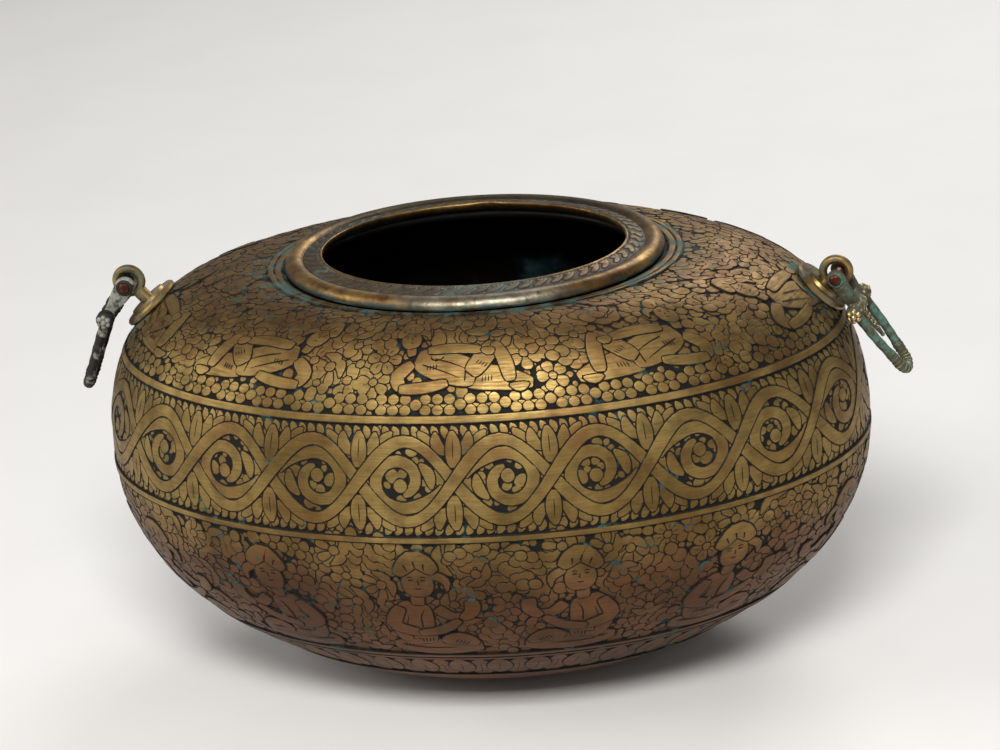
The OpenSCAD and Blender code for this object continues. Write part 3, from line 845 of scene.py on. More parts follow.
def reclining_figure():
    marks = [
        mark([(4, 5.4), (13, 4.4), (24, 2.0)], 3.7, (0.18, 0.45), 6, 12),
        mark([(-11, 11.4), (-2, 8.6), (8, 5.6)], 4.8, (0.3, 0.22), 7, 12),
        mark([(5.5, 5.6), (10.4, 11.4), (14.2, 16.4)], 2.7, (0.25, 0.3), 8, 10),
        mark([(14.0, 16.6), (16.4, 9.6), (17.2, 2.8)], 2.0, (0.3, 0.3), 9, 10),
        mark([(16.8, 1.9), (19.6, 1.2), (22.2, 2.0)], 1.1, LEAF, 10, 7),
        mark([(-11.4, 9.6), (-15.6, 5.4), (-14.2, 1.4)], 1.8, (0.25, 0.25), 8, 9),
        mark([(-15.0, 1.5), (-7.6, 2.0), (-0.6, 3.4)], 1.35, (0.2, 0.25), 9, 9),
        mark([(-7.6, 13.8), (1.4, 14.6), (10.2, 13.6)], 1.5, (0.25, 0.25), 10, 10),
        mark([(9.8, 13.8), (12.0, 13.0), (13.6, 13.8)], 1.2, LOBE, 11, 6),
    ]
    marks += folds(7, [(-9, 9.2), (-3, 7.2), (3, 4.6)], [(-5, 11), (0, 9.6), (5, 7.4)])
    marks += hatch((-7.0, 7.0), 0.2, 7) + hatch((9.0, 3.2), 0.1, 6) + hatch((7.6, 9.0), -0.5, 8)
    return marks + turned(head(), 0.35, 0.92, (-13.6, 18.4))


print("strokes in a figure:", len(seated_figure()), "seated,", len(reclining_figure()), "reclining")

# %% [markdown]
# ## Finding room
# A dense carpet needs to know what is taken. Each stroke is noted as a row of circles on the bowl, and a new
# place is measured against them. Rows of motifs are spaced by length, since equal angles crowd at the ends.

# %% Places
MOST_CIRCLES = 60000
FAR = 99.0
RING_SAMPLES = 1441


class Taken:
    """Circles on the bowl that are already in use, in millimetres."""

    def __init__(self):
        self.centres = np.zeros((MOST_CIRCLES, 3))
        self.radii = np.zeros(MOST_CIRCLES)
        self.count = 0

    def add(self, theta, way, radii):
        points = surface(theta, way)
        stop = self.count + len(points)
        self.centres[self.count:stop] = points
        self.radii[self.count:stop] = radii
        self.count = stop

    def add_marks(self, lay, marks, margin):
        for line, half_widths, _, ink in marks:
            if not ink:
                self.add(*lay(line), half_widths + margin)

    def tree(self):
        """The circles' middles in a search tree."""
        made = KDTree(self.count)
        for k in range(self.count):
            made.insert(self.centres[k], k)
        made.balance()
        return made

    def room(self, theta, way):
        """Free distance from a place to the nearest taken circle."""
        if self.count == 0:
            return FAR
        away = np.linalg.norm(self.centres[:self.count] - surface(theta, way), axis=1)
        return (away - self.radii[:self.count]).min()


def ellipse_lengths(a, b, start):
    """Angles all round an ellipse, and the length along it up to each of them."""
    theta = np.linspace(start, start + math.tau, RING_SAMPLES)
    steps = np.hypot(np.diff(a * np.cos(theta)), np.diff(b * np.sin(theta)))
    return theta, np.concatenate([[0], np.cumsum(steps)])


def ring_angles(way, count, start):
    """Angles that part one ring of the bowl into equal lengths, and the ring's length."""
    a, b, _ = ring_at(way)
    theta, length = ellipse_lengths(a, b, math.pi / 2)
    return np.interp((np.arange(count) + start) / count * length[-1], length, theta), length[-1]


print("length round the widest line:", round(ring_angles(way_up(EQUATOR), 1, 0)[1]), "mm")

# %% [markdown]
# ## Laying the carpet
# Motifs are thrown on the bowl like darts, and one that would land too near another is dropped. They overlap
# a little, each on its own level, so that they read as dense foliage. Low lobes then fill the gaps.

# %% Carpet and gaps
EDGE_ROOM = 2.6
MOTIF_ROOM = 1.6
TUCK = 0.3
EDGE_TUCK = 0.2
LOBE_GAP = 0.3
LEAST_LOBE = 0.5
NEIGHBOURS = 40


def carpet(engraving, taken, covered, zone, pitch, tries, motifs):
    """Throws motifs into a zone, no two nearer than the pitch, and notes what they cover."""
    low, high = zone
    centres = Taken()
    for _ in range(tries):
        theta, way = dice.uniform(0, math.tau), dice.uniform(low + EDGE_ROOM, high - EDGE_ROOM)
        if centres.room(theta, way) < 0 or taken.room(theta, way) < MOTIF_ROOM:
            continue
        centres.add(theta, way, pitch)
        lay = place_at(theta, way, dice.uniform(0, math.tau), dice.uniform(0.92, 1.08))
        marks = dice.choice(motifs)
        engraving.add(lay, marks, dice.choice((0, 1, 2)))
        covered.add_marks(lay, marks, margin=0.1)
    return centres.count


def fill_gaps(engraving, covered, zone, tries, largest):
    """Fills what is left with low lobes that reach under the motifs round them."""
    low, high = zone
    tree, added = covered.tree(), Taken()
    laid = 0
    for _ in range(tries):
        theta, way = dice.uniform(0, math.tau), dice.uniform(low, high)
        point = surface(theta, way)[0]
        near = min(distance - covered.radii[k] for _, k, distance in tree.find_n(point, NEIGHBOURS))
        edge = min(way - low, high - way) + EDGE_TUCK
        room = min(near + TUCK, added.room(theta, way) - LOBE_GAP, edge)
        if room < LEAST_LOBE:
            continue
        marks = [lobe((0, 0), min(room, largest), -1, dice.uniform(0, math.tau), 1.35)]
        lay = place_at(theta, way)
        engraving.add(lay, marks)
        added.add_marks(lay, marks, margin=0.2)
        laid += 1
    return laid


print("motifs keep", MOTIF_ROOM, "mm away from the figures")

# %% [markdown]
# ## The plain fillets
# Narrow plain fillets part the bands, each a raised strip all round the bowl between two cut lines.

# %% Fillets
WAY_UPPER = way_up(UPPER_LINE)
WAY_LOWER = way_up(LOWER_LINE)
WAY_FRIEZE = way_up(FRIEZE_LINE)
WAY_PLAIN = way_up(PLAIN_LINE)
WAY_TOP = RING_WAY[-1]
FILLETS = (
    (WAY_UPPER, 0.85), (WAY_LOWER, 0.6), (WAY_FRIEZE, 0.5), (WAY_FRIEZE - 2.4, 0.3),
    (WAY_PLAIN, 1.2), (WAY_TOP - 1.6, 0.4), (WAY_TOP - 3.4, 0.3),
)
FILLET_STEPS = 160
FILLET_LEVEL = 9
FILLET_LAP = 0.01


def fillet(engraving, way, half_width):
    """A strip round the bowl, with its ends meeting at the back."""
    theta = ring_angles(way, FILLET_STEPS, 0)[0]
    theta = np.concatenate([theta, [theta[0] + math.tau + FILLET_LAP]])
    width = np.array([half_width + LINE + FOOT, half_width + LINE, half_width])
    offset = np.concatenate([width, -width[::-1]])
    top = TOP_DEPTH - LEVEL_STEP * FILLET_LEVEL
    depth = np.array([FOOT_DEPTH, top + LINE_DROP, top, top, top + LINE_DROP, FOOT_DEPTH])
    engraving.add_block(theta[:, None], way + offset, depth, CUT_ACROSS, 0.0)


fillets = Engraving()
for way, half_width in FILLETS:
    fillet(fillets, way, half_width)
fillets.build("fillets")

# %% [markdown]
# ## The middle band
# Two wavy stems cross each other all round the bowl, over and under in turn. A tendril curls up in each loop
# between them, and palmettes fill the corners.

# %% Middle band
BAND_REPEATS = 11
BAND_SWING = 12.6
BAND_LOW = WAY_LOWER + 1.5
BAND_HIGH = WAY_UPPER - 1.8
BAND_MIDDLE = (BAND_LOW + BAND_HIGH) / 2
BAND_SAMPLES = 1440
BAND_ANGLES, BAND_LENGTH = ring_angles(BAND_MIDDLE, BAND_SAMPLES, 0)
LOOP = BAND_LENGTH / BAND_REPEATS / 2
EDGE_LEAVES = 210
BAND_TRIES = 9000
BAND_LOBE = 1.8


def along_band(points):
    """Lays millimetres along and above the band's middle line on the bowl."""
    turns = points[..., 0] / BAND_LENGTH
    theta = np.interp(turns % 1, np.arange(BAND_SAMPLES) / BAND_SAMPLES, BAND_ANGLES)
    return theta + math.tau * np.floor(turns), BAND_MIDDLE + points[..., 1]


def wavy_stem(sign):
    s = np.linspace(0, BAND_LENGTH, BAND_REPEATS * 30)
    wave = math.pi * s / LOOP
    line = np.stack([s, sign * BAND_SWING * np.sin(wave)], 1)
    return line, 1.55 + 0.2 * np.sin(wave * 2), 5 + 1.6 * sign * np.cos(wave), False


def tendril():
    knots = [(-13.4, 0.6), (-9.6, 4.4), (-4.2, 7.2)]
    for k, radius in enumerate((8.3, 8.0, 7.6, 7.1, 6.5, 5.8, 5.0, 4.2, 3.5)):
        knots.append(np.array([1.8, 0]) + polar(radius, math.radians(90 - 45 * k)))
    return [
        mark(knots, 1.6, (0.06, 0.14), 3, 34),
        lobe((1.6, 1.2), 1.9, 4),
        mark([(9.6, 4.2), (11.6, 1.6), (12.6, -0.6)], 1.5, COMMA, 2, 8),
        mark([(-8.2, 2.2), (-7.4, -2.4), (-4.6, -5.8)], 1.5, LEAF, 2, 9),
        mark([(-10.4, 1.8), (-10.8, -1.2), (-9.2, -3.6)], 1.0, LEAF, 1, 8),
    ]


def palmette():
    marks = [mark([(0, 4.2), (0.3, 10), (0, 15.8)], 2.2, (0.6, 0.7), 3, 10)]
    marks += [mark([(0.1, 7), (0.2, 13.4)], 0.16, LOBE, 3, 6, True)]
    for side in (-1, 1):
        marks.append(mark([(side * 2.2, 8.4), (side * 4.8, 11.4), (side * 5.4, 15.4)], 1.6, LEAF, 2, 9))
        marks.append(mark([(side * 5.6, 10.8), (side * 8.4, 13.0), (side * 10.8, 15.6)], 1.4, LEAF, 1, 9))
    return marks


def edge_leaves():
    """Small slanted leaves that hang from the two fillets, behind all else."""
    edge = (BAND_HIGH - BAND_LOW) / 2
    marks = []
    for x in np.linspace(0, BAND_LENGTH, EDGE_LEAVES, endpoint=False):
        for side in (-1, 1):
            knots = [(x, side * (edge - 0.3)), (x + 0.9, side * (edge - 2.0)), (x + 1.2, side * (edge - 3.9))]
            marks.append(mark(knots, 0.95, LEAF, 0, 7))
    return marks


def middle_band():
    band, taken = Engraving(), Taken()
    pieces = [[wavy_stem(1), wavy_stem(-1)], edge_leaves()]
    for k in range(2 * BAND_REPEATS):
        curl = tendril() if k % 2 else turned(tendril(), math.pi)
        pieces.append(turned(curl, 0, 1, ((k + 0.5) * LOOP, 0)))
        pieces += [turned(palmette(), angle, 1, (k * LOOP, 0)) for angle in (0, math.pi)]
    for marks in pieces:
        band.add(along_band, marks)
        taken.add_marks(along_band, marks, margin=0.35)
    fill_gaps(band, taken, (BAND_LOW + 0.4, BAND_HIGH - 0.4), BAND_TRIES, BAND_LOBE)
    band.build("middle_band")


middle_band()

# %% [markdown]
# ## Shoulder and belly
# The shoulder and the belly carry figures among rosettes, bunches and fans, and sprigs run along the upper
# fillet.

# %% Shoulder and belly carpets
CARPET_MOTIFS = [rosette(5, 5.0), rosette(6, 5.4), rosette(6, 5.6, True), rosette(7, 5.7)]
CARPET_MOTIFS += [bunch(3, 1.9), bunch(4, 1.7), fan(5, 6.0), fan(7, 6.6)]
SHOULDER_ZONE = (WAY_UPPER + 1.6, WAY_TOP - 4.4)
LOWER_ZONE = (WAY_FRIEZE + 1.4, WAY_LOWER - 1.4)
SPRIG_LINE = 3.2
SPRIG_TOP = 5.4
MOTIF_TRIES = 12000
LOBE_TRIES = 14000
LARGEST_LOBE = 1.9


def place_figures(engraving, taken, figure, way, count, start, scale):
    """Sets figures round the bowl, every second one the other way round."""
    for k, theta in enumerate(ring_angles(way, count, start)[0]):
        marks = turned(figure(), 0, scale)
        marks = flipped(marks) if k % 2 else marks
        lay = place_at(theta, way)
        engraving.add(lay, marks)
        taken.add_marks(lay, marks, margin=0.3)


def sprig_row(engraving, taken, way, count):
    marks = sprig(12, 3)
    for theta in ring_angles(way, count, 0.3)[0]:
        lay = place_at(theta, way, -math.pi / 2)
        engraving.add(lay, marks)
        taken.add_marks(lay, marks, margin=0.4)


def register(name, zone, pitch, figures, sprigs=0):
    """One broad band of the bowl: figures first, then sprigs, motifs and what fills the gaps."""
    engraving, taken = Engraving(), Taken()
    place_figures(engraving, taken, *figures)
    field = zone
    if sprigs:
        sprig_row(engraving, taken, zone[0] + SPRIG_LINE, sprigs)
        field = (zone[0] + SPRIG_TOP, zone[1])
    covered = copy.deepcopy(taken)
    print(carpet(engraving, taken, covered, field, pitch, MOTIF_TRIES, CARPET_MOTIFS), "motifs")
    print(fill_gaps(engraving, covered, zone, LOBE_TRIES, LARGEST_LOBE), "lobes between them")
    engraving.build_halves(name)


register("shoulder_carpet", SHOULDER_ZONE, 6.3, (reclining_figure, WAY_UPPER + 8, 9, 0.5, 1.1), 44)
register("lower_carpet", LOWER_ZONE, 6.5, (seated_figure, WAY_FRIEZE + 4, 13, 0.22, 1.2))

# %% [markdown]
# ## The leaf frieze
# Under the belly's double line hangs a frieze of leaves that point down to the base.

# %% Leaf frieze
FRIEZE_LEAVES = 40
FRIEZE_GAP = 3.8
LEAF_HALF_WIDTH = 4.2


def leaf_frieze():
    frieze = Engraving()
    for row, (drop, level) in enumerate(((17, 0), (4.4, 2))):
        for theta in ring_angles(WAY_FRIEZE - drop, FRIEZE_LEAVES, 0.5 * row)[0]:
            lay = place_at(theta, WAY_FRIEZE - FRIEZE_GAP, math.pi)
            frieze.add(lay, leaf(13 + drop * 0.3, LEAF_HALF_WIDTH), level)
    frieze.build("leaf_frieze")


leaf_frieze()

# %% [markdown]
# ## The mouth collar
# A strip of brass is bent to an oval, its ends meet in a small peak at the back, and it is soldered on. The
# bead on its outer edge carries a painted highlight in front. The lip inside it carries a row of slanted
# leaves.

# %% Mouth collar
MOUTH_HALF = (49.0, 39.0)
COLLAR_SEGMENTS = 192
LIP_SPAN = (0.5, 6.0)
LIP_HEIGHTS = (4.25, 3.35)
LIP_GROUND = 0.3
LIP_LEAVES = 62
SEAM_PEAK = 0.5
BEAD_OUT = 9.3
BEAD_RADIUS = 3.15
BEAD_TOP = 3.8


def collar_section():
    """Distance out from the mouth and height above the seat, round the strip."""
    lip = [(0.0, 2.7), (0.0, 3.8), (0.15, 4.1), (0.55, LIP_HEIGHTS[0])]
    top = [(x, np.interp(x, LIP_SPAN, LIP_HEIGHTS) - LIP_GROUND) for x in (0.9, 2.5, 4.2, 5.8)]
    groove = [(6.05, 2.9), (6.35, 2.55)]
    bead = []
    for angle in range(150, -1, -15):
        turn = math.radians(angle)
        rise = 3.35 if angle < 90 else 1.6
        bead.append((BEAD_OUT + BEAD_RADIUS * math.cos(turn), BEAD_TOP - rise + rise * math.sin(turn)))
    return np.array([(3.5, 0.0)] + lip + top + groove + bead + [(12.1, 0.0), (3.5, 0.0)])


def seam_lift(theta, out):
    """The small peak where the strip's ends meet."""
    along = (theta - math.pi / 2) * MOUTH_HALF[0]
    return SEAM_PEAK * np.exp(-(along / 4.5) ** 2) * np.clip(1 - out / 4, 0, 1)


def round_mouth(theta, out, height):
    return ovals(MOUTH_HALF[0] + out, MOUTH_HALF[1] + out, COLLAR_BASE + height, theta)


def mouth_collar():
    section = collar_section()
    row, theta = rows_and_angles(len(section), COLLAR_SEGMENTS)
    out, height = section[row].T
    upper = height > 2
    bm = grid(COLLAR_SEGMENTS, len(section) - 1)
    set_points(bm, round_mouth(theta, out, height + seam_lift(theta, out) * upper) * MM)
    on_top = (out > 0.8) & (out < 6.0) & upper
    in_groove = (out > 6.0) & (out < 6.4)
    set_values(bm, "cut", 0.5 * on_top + 1.0 * (in_groove | (height < 0.5)))
    # The inner edge is marked with rub, which keeps it out of the painted shade at the back of the collar.
    set_values(bm, "rub", out < 0.8)
    weld(bm)
    finish_piece("collar", bm, [WORN_WITH_PAINTED_LIGHT], "root", "mouth_collar")


def on_lip(theta, out, depth):
    height = np.interp(out, LIP_SPAN, LIP_HEIGHTS) + seam_lift(theta % math.tau, out) - depth
    return round_mouth(theta, out, height)


def lip_leaves():
    leaves = Engraving(on_lip, WORN_WITH_PAINTED_LIGHT, "worn_brass")
    middle = sum(LIP_SPAN) / 2 + 0.2
    theta, length = ellipse_lengths(MOUTH_HALF[0] + middle, MOUTH_HALF[1] + middle, 0)
    marks = [mark([(-2.6, -1.5), (-0.4, -0.5), (2.4, 1.7)], 0.55, LEAF, 9, 8)]
    marks += [mark([(-0.6, 1.6), (0.4, 0.9), (1.0, 1.8)], 0.3, LOBE, 9, 6)]

    def lay_from(start):
        return lambda p: (np.interp((start + p[..., 0]) % length[-1], length, theta), middle - p[..., 1])

    for k in range(LIP_LEAVES):
        leaves.add(lay_from(length[-1] * (k + dice.uniform(-0.1, 0.1)) / LIP_LEAVES), marks)
    leaves.build("lip_leaves")


mouth_collar()
lip_leaves()

# %% [markdown]
# ## Tubes and turned pieces
# The handles are cast and forged. Rods are swept tubes, barrels are spun from a profile, and grains are small
# balls. A value called rub says where a piece has been rubbed bright.

# %% Tools for the handles


class Casting:
    """Joins tubes, barrels, plates and grains into one piece, in the millimetres of a handle."""

    def __init__(self):
        self.bm = bmesh.new()
        self.bm.verts.layers.float.new("rub")

    def take(self, made, rub=None):
        """Adds a finished bmesh, with one rub all over unless it has its own."""
        if rub is not None:
            set_values(made, "rub", np.full(len(made.verts), rub))
        bmesh.ops.recalc_face_normals(made, faces=made.faces)
        mesh = bpy.data.meshes.new("part")
        made.to_mesh(mesh)
        made.free()
        self.bm.from_mesh(mesh)
        bpy.data.meshes.remove(mesh)

    def tube(self, path, radii, sides, rub):
        """A rod along a path, closed at both ends, with one rub or one for each ring of points."""
        along = directions(path)
        side = np.cross(along, (1.0, 0.0, 0.0))
        side /= np.linalg.norm(side, axis=1, keepdims=True)
        over = np.cross(side, along)
        row, turn = rows_and_angles(len(path), sides, 0.0)
        spoke = np.cos(turn)[:, None] * side[row] + np.sin(turn)[:, None] * over[row]
        made = grid(sides, len(path) - 1)
        set_points(made, path[row] + radii[row][:, None] * spoke)
        set_values(made, "rub", np.broadcast_to(rub, len(path))[row])
        bmesh.ops.remove_doubles(made, verts=made.verts, dist=1e-4)
        bmesh.ops.holes_fill(made, edges=[e for e in made.edges if e.is_boundary], sides=0)
        self.take(made)

    def barrel(self, centre, profile, axis, rub):
        """A turned piece: a profile of distance along the axis and radius, spun about it."""
        made = bmesh.new()
        verts = [made.verts.new((r, 0, h)) for h, r in profile]
        edges = [made.edges.new(pair) for pair in zip(verts, verts[1:])]
        bmesh.ops.spin(made, geom=verts + edges, cent=(0, 0, 0), axis=(0, 0, 1), angle=math.tau, steps=20,
                       use_merge=True)
        bmesh.ops.remove_doubles(made, verts=made.verts, dist=1e-4)
        turn = Vector((0, 0, 1)).rotation_difference(Vector(axis)).to_matrix().to_4x4()
        bmesh.ops.transform(made, matrix=Matrix.Translation(centre) @ turn, verts=made.verts)
        self.take(made, rub)

    def grain(self, centre, radius, rub):
        made = bmesh.new()
        bmesh.ops.create_icosphere(made, subdivisions=2, radius=radius, matrix=Matrix.Translation(centre))
        self.take(made, rub)

    def plate(self, outline, thickness, soften, matrix, rub):
        """A flat outline given thickness, with softened edges."""
        made = bmesh.new()
        made.faces.new([made.verts.new((x, y, -thickness / 2)) for x, y in outline])
        grown = bmesh.ops.extrude_face_region(made, geom=made.faces[:])["geom"]
        upper = [v for v in grown if isinstance(v, bmesh.types.BMVert)]
        bmesh.ops.translate(made, vec=(0, 0, thickness), verts=upper)
        bmesh.ops.recalc_face_normals(made, faces=made.faces)
        rim = [e for e in made.edges if e.calc_face_angle(0) > 0.9]
        bmesh.ops.bevel(made, geom=rim, offset=soften, affect="EDGES", segments=3, profile=0.5, material=-1)
        bmesh.ops.transform(made, matrix=matrix, verts=made.verts)
        self.take(made, rub)

    def build(self, handle, kind, name, matrix):
        """Puts the casting in the place of one of a handle's solids."""
        node = handle.side + "_" + kind
        bmesh.ops.transform(self.bm, matrix=Matrix.Scale(MM, 4) @ matrix, verts=self.bm.verts)
        piece = finish_piece(node + "_" + name, self.bm, [handle.metal], node + "_body", node)
        print(piece.name + ":", len(piece.data.polygons), "faces")


print("casting tools are ready")

# %% [markdown]
# ## The two handles
# Both handles are made alike, but they hang differently and are coloured differently: the left one is darker,
# and the pale patina on its knobs and rod partly stands in for painted highlights. Angles are in degrees, and
# the left one is a right one turned half round.

# %% Sizes of the handles
LINK_LENGTH = 12.0
LEFT = SimpleNamespace(
    side="left", metal=LEFT_BRONZE, half_turn=math.pi, rivet=(115.008, 0, 131.687), ear_radius=3.4,
    link_lean=36, link_turn=0, bail_lean=22,
    # The pale patina on the left knobs and rod partly stands in for painted highlights.
    ear_rub=-0.8, knob_rub_and_highlight=-0.7, block_rub=(0.1, 0.4), rod_rub_and_highlight=-0.25, cord_rub=0.3)
RIGHT = SimpleNamespace(
    side="right", metal=RIGHT_BRONZE, half_turn=0.0, rivet=(115.964, 0, 126.122), ear_radius=2.9,
    link_lean=31, link_turn=10, bail_lean=34,
    ear_rub=0.35, knob_rub_and_highlight=1.1, block_rub=(0.5, 1.1), rod_rub_and_highlight=-0.2, cord_rub=1.0)


def link_matrix(handle):
    place = Matrix.Rotation(handle.half_turn, 4, "Z") @ Matrix.Translation(handle.rivet)
    lean = Matrix.Rotation(-math.radians(handle.link_lean), 4, "Y")
    return place @ lean @ Matrix.Rotation(-math.radians(handle.link_turn), 4, "Z")


def bail_swing(handle):
    return math.radians(handle.link_lean - handle.bail_lean)


def bail_matrix(handle):
    drop = Matrix.Translation((0, 0, -LINK_LENGTH))
    return link_matrix(handle) @ drop @ Matrix.Rotation(bail_swing(handle), 4, "Y")


print("rivets at", LEFT.rivet, "turned half round, and", RIGHT.rivet)

# %% [markdown]
# ## The links
# Each link is a cast clevis: two ears on the rivet, a knotted block that holds the cross pin, and an openwork
# leaf with grains that hangs inside the bail.

# %% Links
EAR_GAP = 5.6
EAR_THICKNESS = 2.2
RIVET_RING = [(-0.2, 2.0), (0.5, 1.86), (0.62, 2.1), (0.45, 2.5), (0.0, 2.8), (-0.2, 2.8), (-0.2, 2.0)]
BLOCK_RINGS = [(-5.0, 0.2), (-5.0, 1.9), (-4.4, 2.5), (-3.5, 2.6), (-3.0, 2.1), (-2.4, 2.1), (-1.7, 2.6)]
BLOCK_TOP = [(0, 2.7)]
BLOCK_GRAINS = 2.05
LEAF_LENGTH = 13.6


def ear_outline(radius):
    """A round ear that narrows towards the block."""
    points = [tuple(polar(radius, a)) for a in np.linspace(-0.25, math.pi + 0.25, 17)]
    right = [(1.75, -10.8), (2.05, -7.8), (radius * 0.85, -4.0)]
    return points + [(-x, y) for x, y in reversed(right)] + right


def add_block(casting, rub):
    """A barrel with rings, covered with grains like a knot."""
    profile = BLOCK_RINGS + BLOCK_TOP + [(-h, r) for h, r in reversed(BLOCK_RINGS)]
    casting.barrel((0, 0, -LINK_LENGTH), profile, (0, 1, 0), rub[0])
    for y in (-4.0, -1.0, 1.0, 4.0):
        for k in range(7):
            angle = math.tau * (k + 0.5 * (abs(y) > 2)) / 7
            x, z = polar(BLOCK_GRAINS, angle)
            casting.grain((x, y, z - LINK_LENGTH), dice.uniform(0.6, 0.95), dice.uniform(*rub))


def add_knob_grains(casting, rub):
    """A crown of grains on each knob of the cross pin."""
    for y in (-1, 1):
        casting.grain((0, y * 10.6, -LINK_LENGTH), 1.0, rub)
        for k in range(6):
            x, z = polar(1.6, math.tau * k / 6)
            casting.grain((x, y * 10.0, z - LINK_LENGTH), dice.uniform(0.75, 0.95), rub)


def leaf_edge(count, edge):
    t = np.linspace(0, 1, count)
    half = 2.0 * (0.45 + 0.55 * np.sin(np.pi * t ** 0.9)) * (1 - t ** 3) ** 0.8
    return np.stack([np.zeros(count), edge * half, -1.6 - (LEAF_LENGTH - 1.8) * t], 1)


def hung(points, swing):
    """Points that hang from the cross pin, swung about it and given from the rivet."""
    x, y, z = np.array(points, float).T
    c, s = math.cos(swing), math.sin(swing)
    return np.stack([x * c + z * s, y, z * c - x * s - LINK_LENGTH], -1)


def add_leaf(casting, swing, rub):
    """A wire leaf with a mid vein and grains between."""
    for edge in (-1, 1):
        casting.tube(hung(leaf_edge(22, edge), swing), np.linspace(0.62, 0.5, 22), 8, rub[0])
    casting.tube(hung(leaf_edge(12, 0), swing), np.linspace(0.6, 0.35, 12), 8, rub[0])
    for k, drop in enumerate((3.6, 5.3, 7.0, 8.7, 10.2)):
        for edge in (-1, 1):
            casting.grain(hung((0, edge * (1.05 - 0.06 * k), -drop), swing), 0.72 - 0.05 * k, rub[1])
    casting.grain(hung((0, 0, 0.5 - LEAF_LENGTH), swing), 0.75, -0.6)


def link(handle):
    casting = Casting()
    upright = Matrix.Rotation(math.pi / 2, 4, "X")
    for y in (-1, 1):
        shift = Matrix.Translation((0, y * (EAR_GAP + EAR_THICKNESS) / 2, 0))
        casting.plate(ear_outline(handle.ear_radius), EAR_THICKNESS, 0.5, shift @ upright, handle.ear_rub)
        casting.barrel((0, y * (EAR_GAP / 2 + EAR_THICKNESS), 0), RIVET_RING, (0, y, 0), 0.2)
    bridge = [(-1.9, -LINK_LENGTH), (1.9, -LINK_LENGTH), (1.7, -7.4), (-1.7, -7.4)]
    casting.plate(bridge, EAR_GAP + EAR_THICKNESS, 0.4, upright, 0.2)
    add_block(casting, handle.block_rub)
    add_knob_grains(casting, handle.knob_rub_and_highlight)
    add_leaf(casting, bail_swing(handle), handle.block_rub)
    casting.build(handle, "link", "cast", link_matrix(handle))


link(LEFT)
link(RIGHT)

# %% [markdown]
# ## The bails
# A bail is a rod bent to a drop. Its bend is corded, like rope, and its ends are small turned eyelets on the
# cross pin.

# %% Bails
EYELET_MIDDLE = 7.2
EYELET_HALF = [(-1.85, 1.35), (-1.85, 2.3), (-1.2, 2.9), (-0.5, 2.5)]
EYELET_TOP = [(0, 2.95)]
ROD_START = (EYELET_MIDDLE, -1.6)
ROD_BOW = 0.6
ROD_RADIUS = 1.5
BEND_CENTRE = (0, -22.45)
BEND_RADIUS = 4.2
BEND_START = math.radians(-7.52)
CORD_PITCH = 1.45
CORD_REACH = 11.5


def bail_path():
    """Points along the rod, from one eyelet round the bend to the other."""
    arc = [polar(BEND_RADIUS, a) + BEND_CENTRE for a in np.linspace(BEND_START, -math.pi - BEND_START, 61)]
    straight = []
    for t in np.linspace(0, 1, 40)[:-1]:
        bow = np.array([ROD_BOW * math.sin(math.pi * t) ** 2, 0])
        straight.append(np.array(ROD_START) * (1 - t) + arc[0] * t + bow)
    flat = np.array(straight + arc + [p * (-1, 1) for p in reversed(straight)])
    return np.column_stack([np.zeros(len(flat)), flat])


def add_rod(casting, handle):
    """The rod, with ribs across its bend that are rubbed bright."""
    path = bail_path()
    run = np.concatenate([[0], np.cumsum(np.linalg.norm(np.diff(path, axis=0), axis=1))])
    run -= run[-1] / 2
    corded = np.clip((CORD_REACH - np.abs(run)) / 2, 0, 1)
    rib = 0.5 + 0.5 * np.cos(math.tau * run / CORD_PITCH)
    radii = ROD_RADIUS + 0.06 * np.sin(run * 1.3) + corded * (0.1 + 0.22 * rib)
    casting.tube(path, radii, 14, handle.rod_rub_and_highlight + handle.cord_rub * corded * rib)


def add_eyelets(casting, rub):
    """A turned eyelet at each end of the rod, with grains round it."""
    profile = EYELET_HALF + EYELET_TOP + [(-h, r) for h, r in reversed(EYELET_HALF)] + EYELET_HALF[:1]
    for y in (-1, 1):
        casting.barrel((0, y * EYELET_MIDDLE, 0), profile, (0, 1, 0), rub[0])
        for k in range(12):
            x, z = polar(2.4, math.tau * k / 12)
            casting.grain((x, y * (EYELET_MIDDLE + 0.9 * (-1) ** k), z), 0.62, dice.uniform(*rub))


def bail(handle):
    casting = Casting()
    add_rod(casting, handle)
    add_eyelets(casting, handle.block_rub)
    casting.build(handle, "bail", "rod", bail_matrix(handle))


bail(LEFT)
bail(RIGHT)

# %% [markdown]
# ## Bosses, eyes, rivets and pins
# These solids have their true shape already, so they keep it and get a better skin.

# %% Skins for the solids


def dress(node, material):
    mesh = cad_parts[node].data
    mesh.materials.clear()
    mesh.materials.append(material)


for handle in (LEFT, RIGHT):
    skins = {"boss": FITTINGS, "eye": FITTINGS, "rove": COPPER, "rivet": COPPER, "cross_pin": handle.metal}
    for kind, material in skins.items():
        dress(handle.side + "_" + kind, material)
    print(handle.side, "solids dressed:", len(skins))

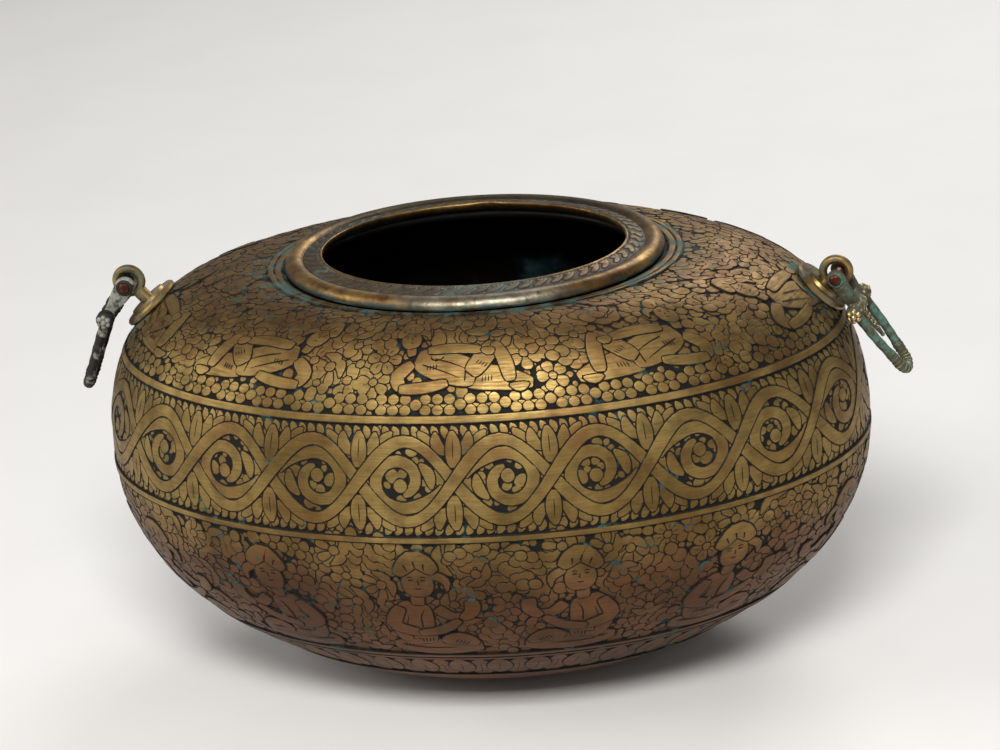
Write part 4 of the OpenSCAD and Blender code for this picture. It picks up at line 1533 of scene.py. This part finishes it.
# %% [markdown]
# ## Stage, light and camera
# A pale floor and large soft lights show the brass as it is. The camera stands where the photograph's did.

# %% Stage and camera


def stage_floor():
    shader = Shader("floor_paper")
    shade = shader.mix(shader.noise(60, 3), srgb(226, 224, 220), srgb(219, 217, 213))
    bm = grid(1, 1)
    bmesh.ops.scale(bm, vec=(6, 6, 1), verts=bm.verts)
    floor = add_object("floor", bm, [shader.finish(shade, 0.0, 0.9)])


def looking(place, aim):
    return (Vector(aim) - Vector(place)).to_track_quat("-Z", "Y")


def area_light(name, place, aim, size, watts):
    data = bpy.data.lights.new(name, "AREA")
    data.shape = "RECTANGLE"
    data.size, data.size_y = size
    data.energy = watts
    lamp = bpy.data.objects.new(name, data)
    lamp.location = place
    lamp.rotation_euler = looking(place, aim).to_euler()
    bpy.context.scene.collection.objects.link(lamp)


def set_world(colour, strength):
    world = bpy.data.worlds.new("studio")
    world.use_nodes = True
    background = world.node_tree.nodes["Background"]
    background.inputs["Color"].default_value = colour
    background.inputs["Strength"].default_value = strength
    bpy.context.scene.world = world


def set_camera(place, aim, lens, roll, shift):
    data = bpy.data.cameras.new("camera")
    data.lens = lens
    data.sensor_width = 36
    data.shift_x, data.shift_y = shift
    camera = bpy.data.objects.new("camera", data)
    look = looking(place, aim).to_matrix().to_4x4()
    camera.matrix_world = Matrix.Translation(place) @ look @ Matrix.Rotation(roll, 4, "Z")
    bpy.context.scene.collection.objects.link(camera)
    bpy.context.scene.camera = camera


stage_floor()
set_world(srgb(214, 214, 216), 0.45)
area_light("key", (0.05, -0.85, 0.95), (0, 0, 0.08), (0.5, 0.35), 14)
area_light("left_fill", (-1.1, -0.3, 0.7), (0, 0, 0.08), (0.6, 0.6), 5)
area_light("back_rim", (0.4, 1.0, 0.9), (0, 0, 0.1), (0.8, 0.4), 8)
set_camera((0.1430, -0.9817, 0.4881), (0, 0, 0.077), 117.6, -0.0857, (0.0109, 0.0514))
bpy.context.scene.view_settings.view_transform = "Standard"
print("lights:", len(bpy.data.lights))
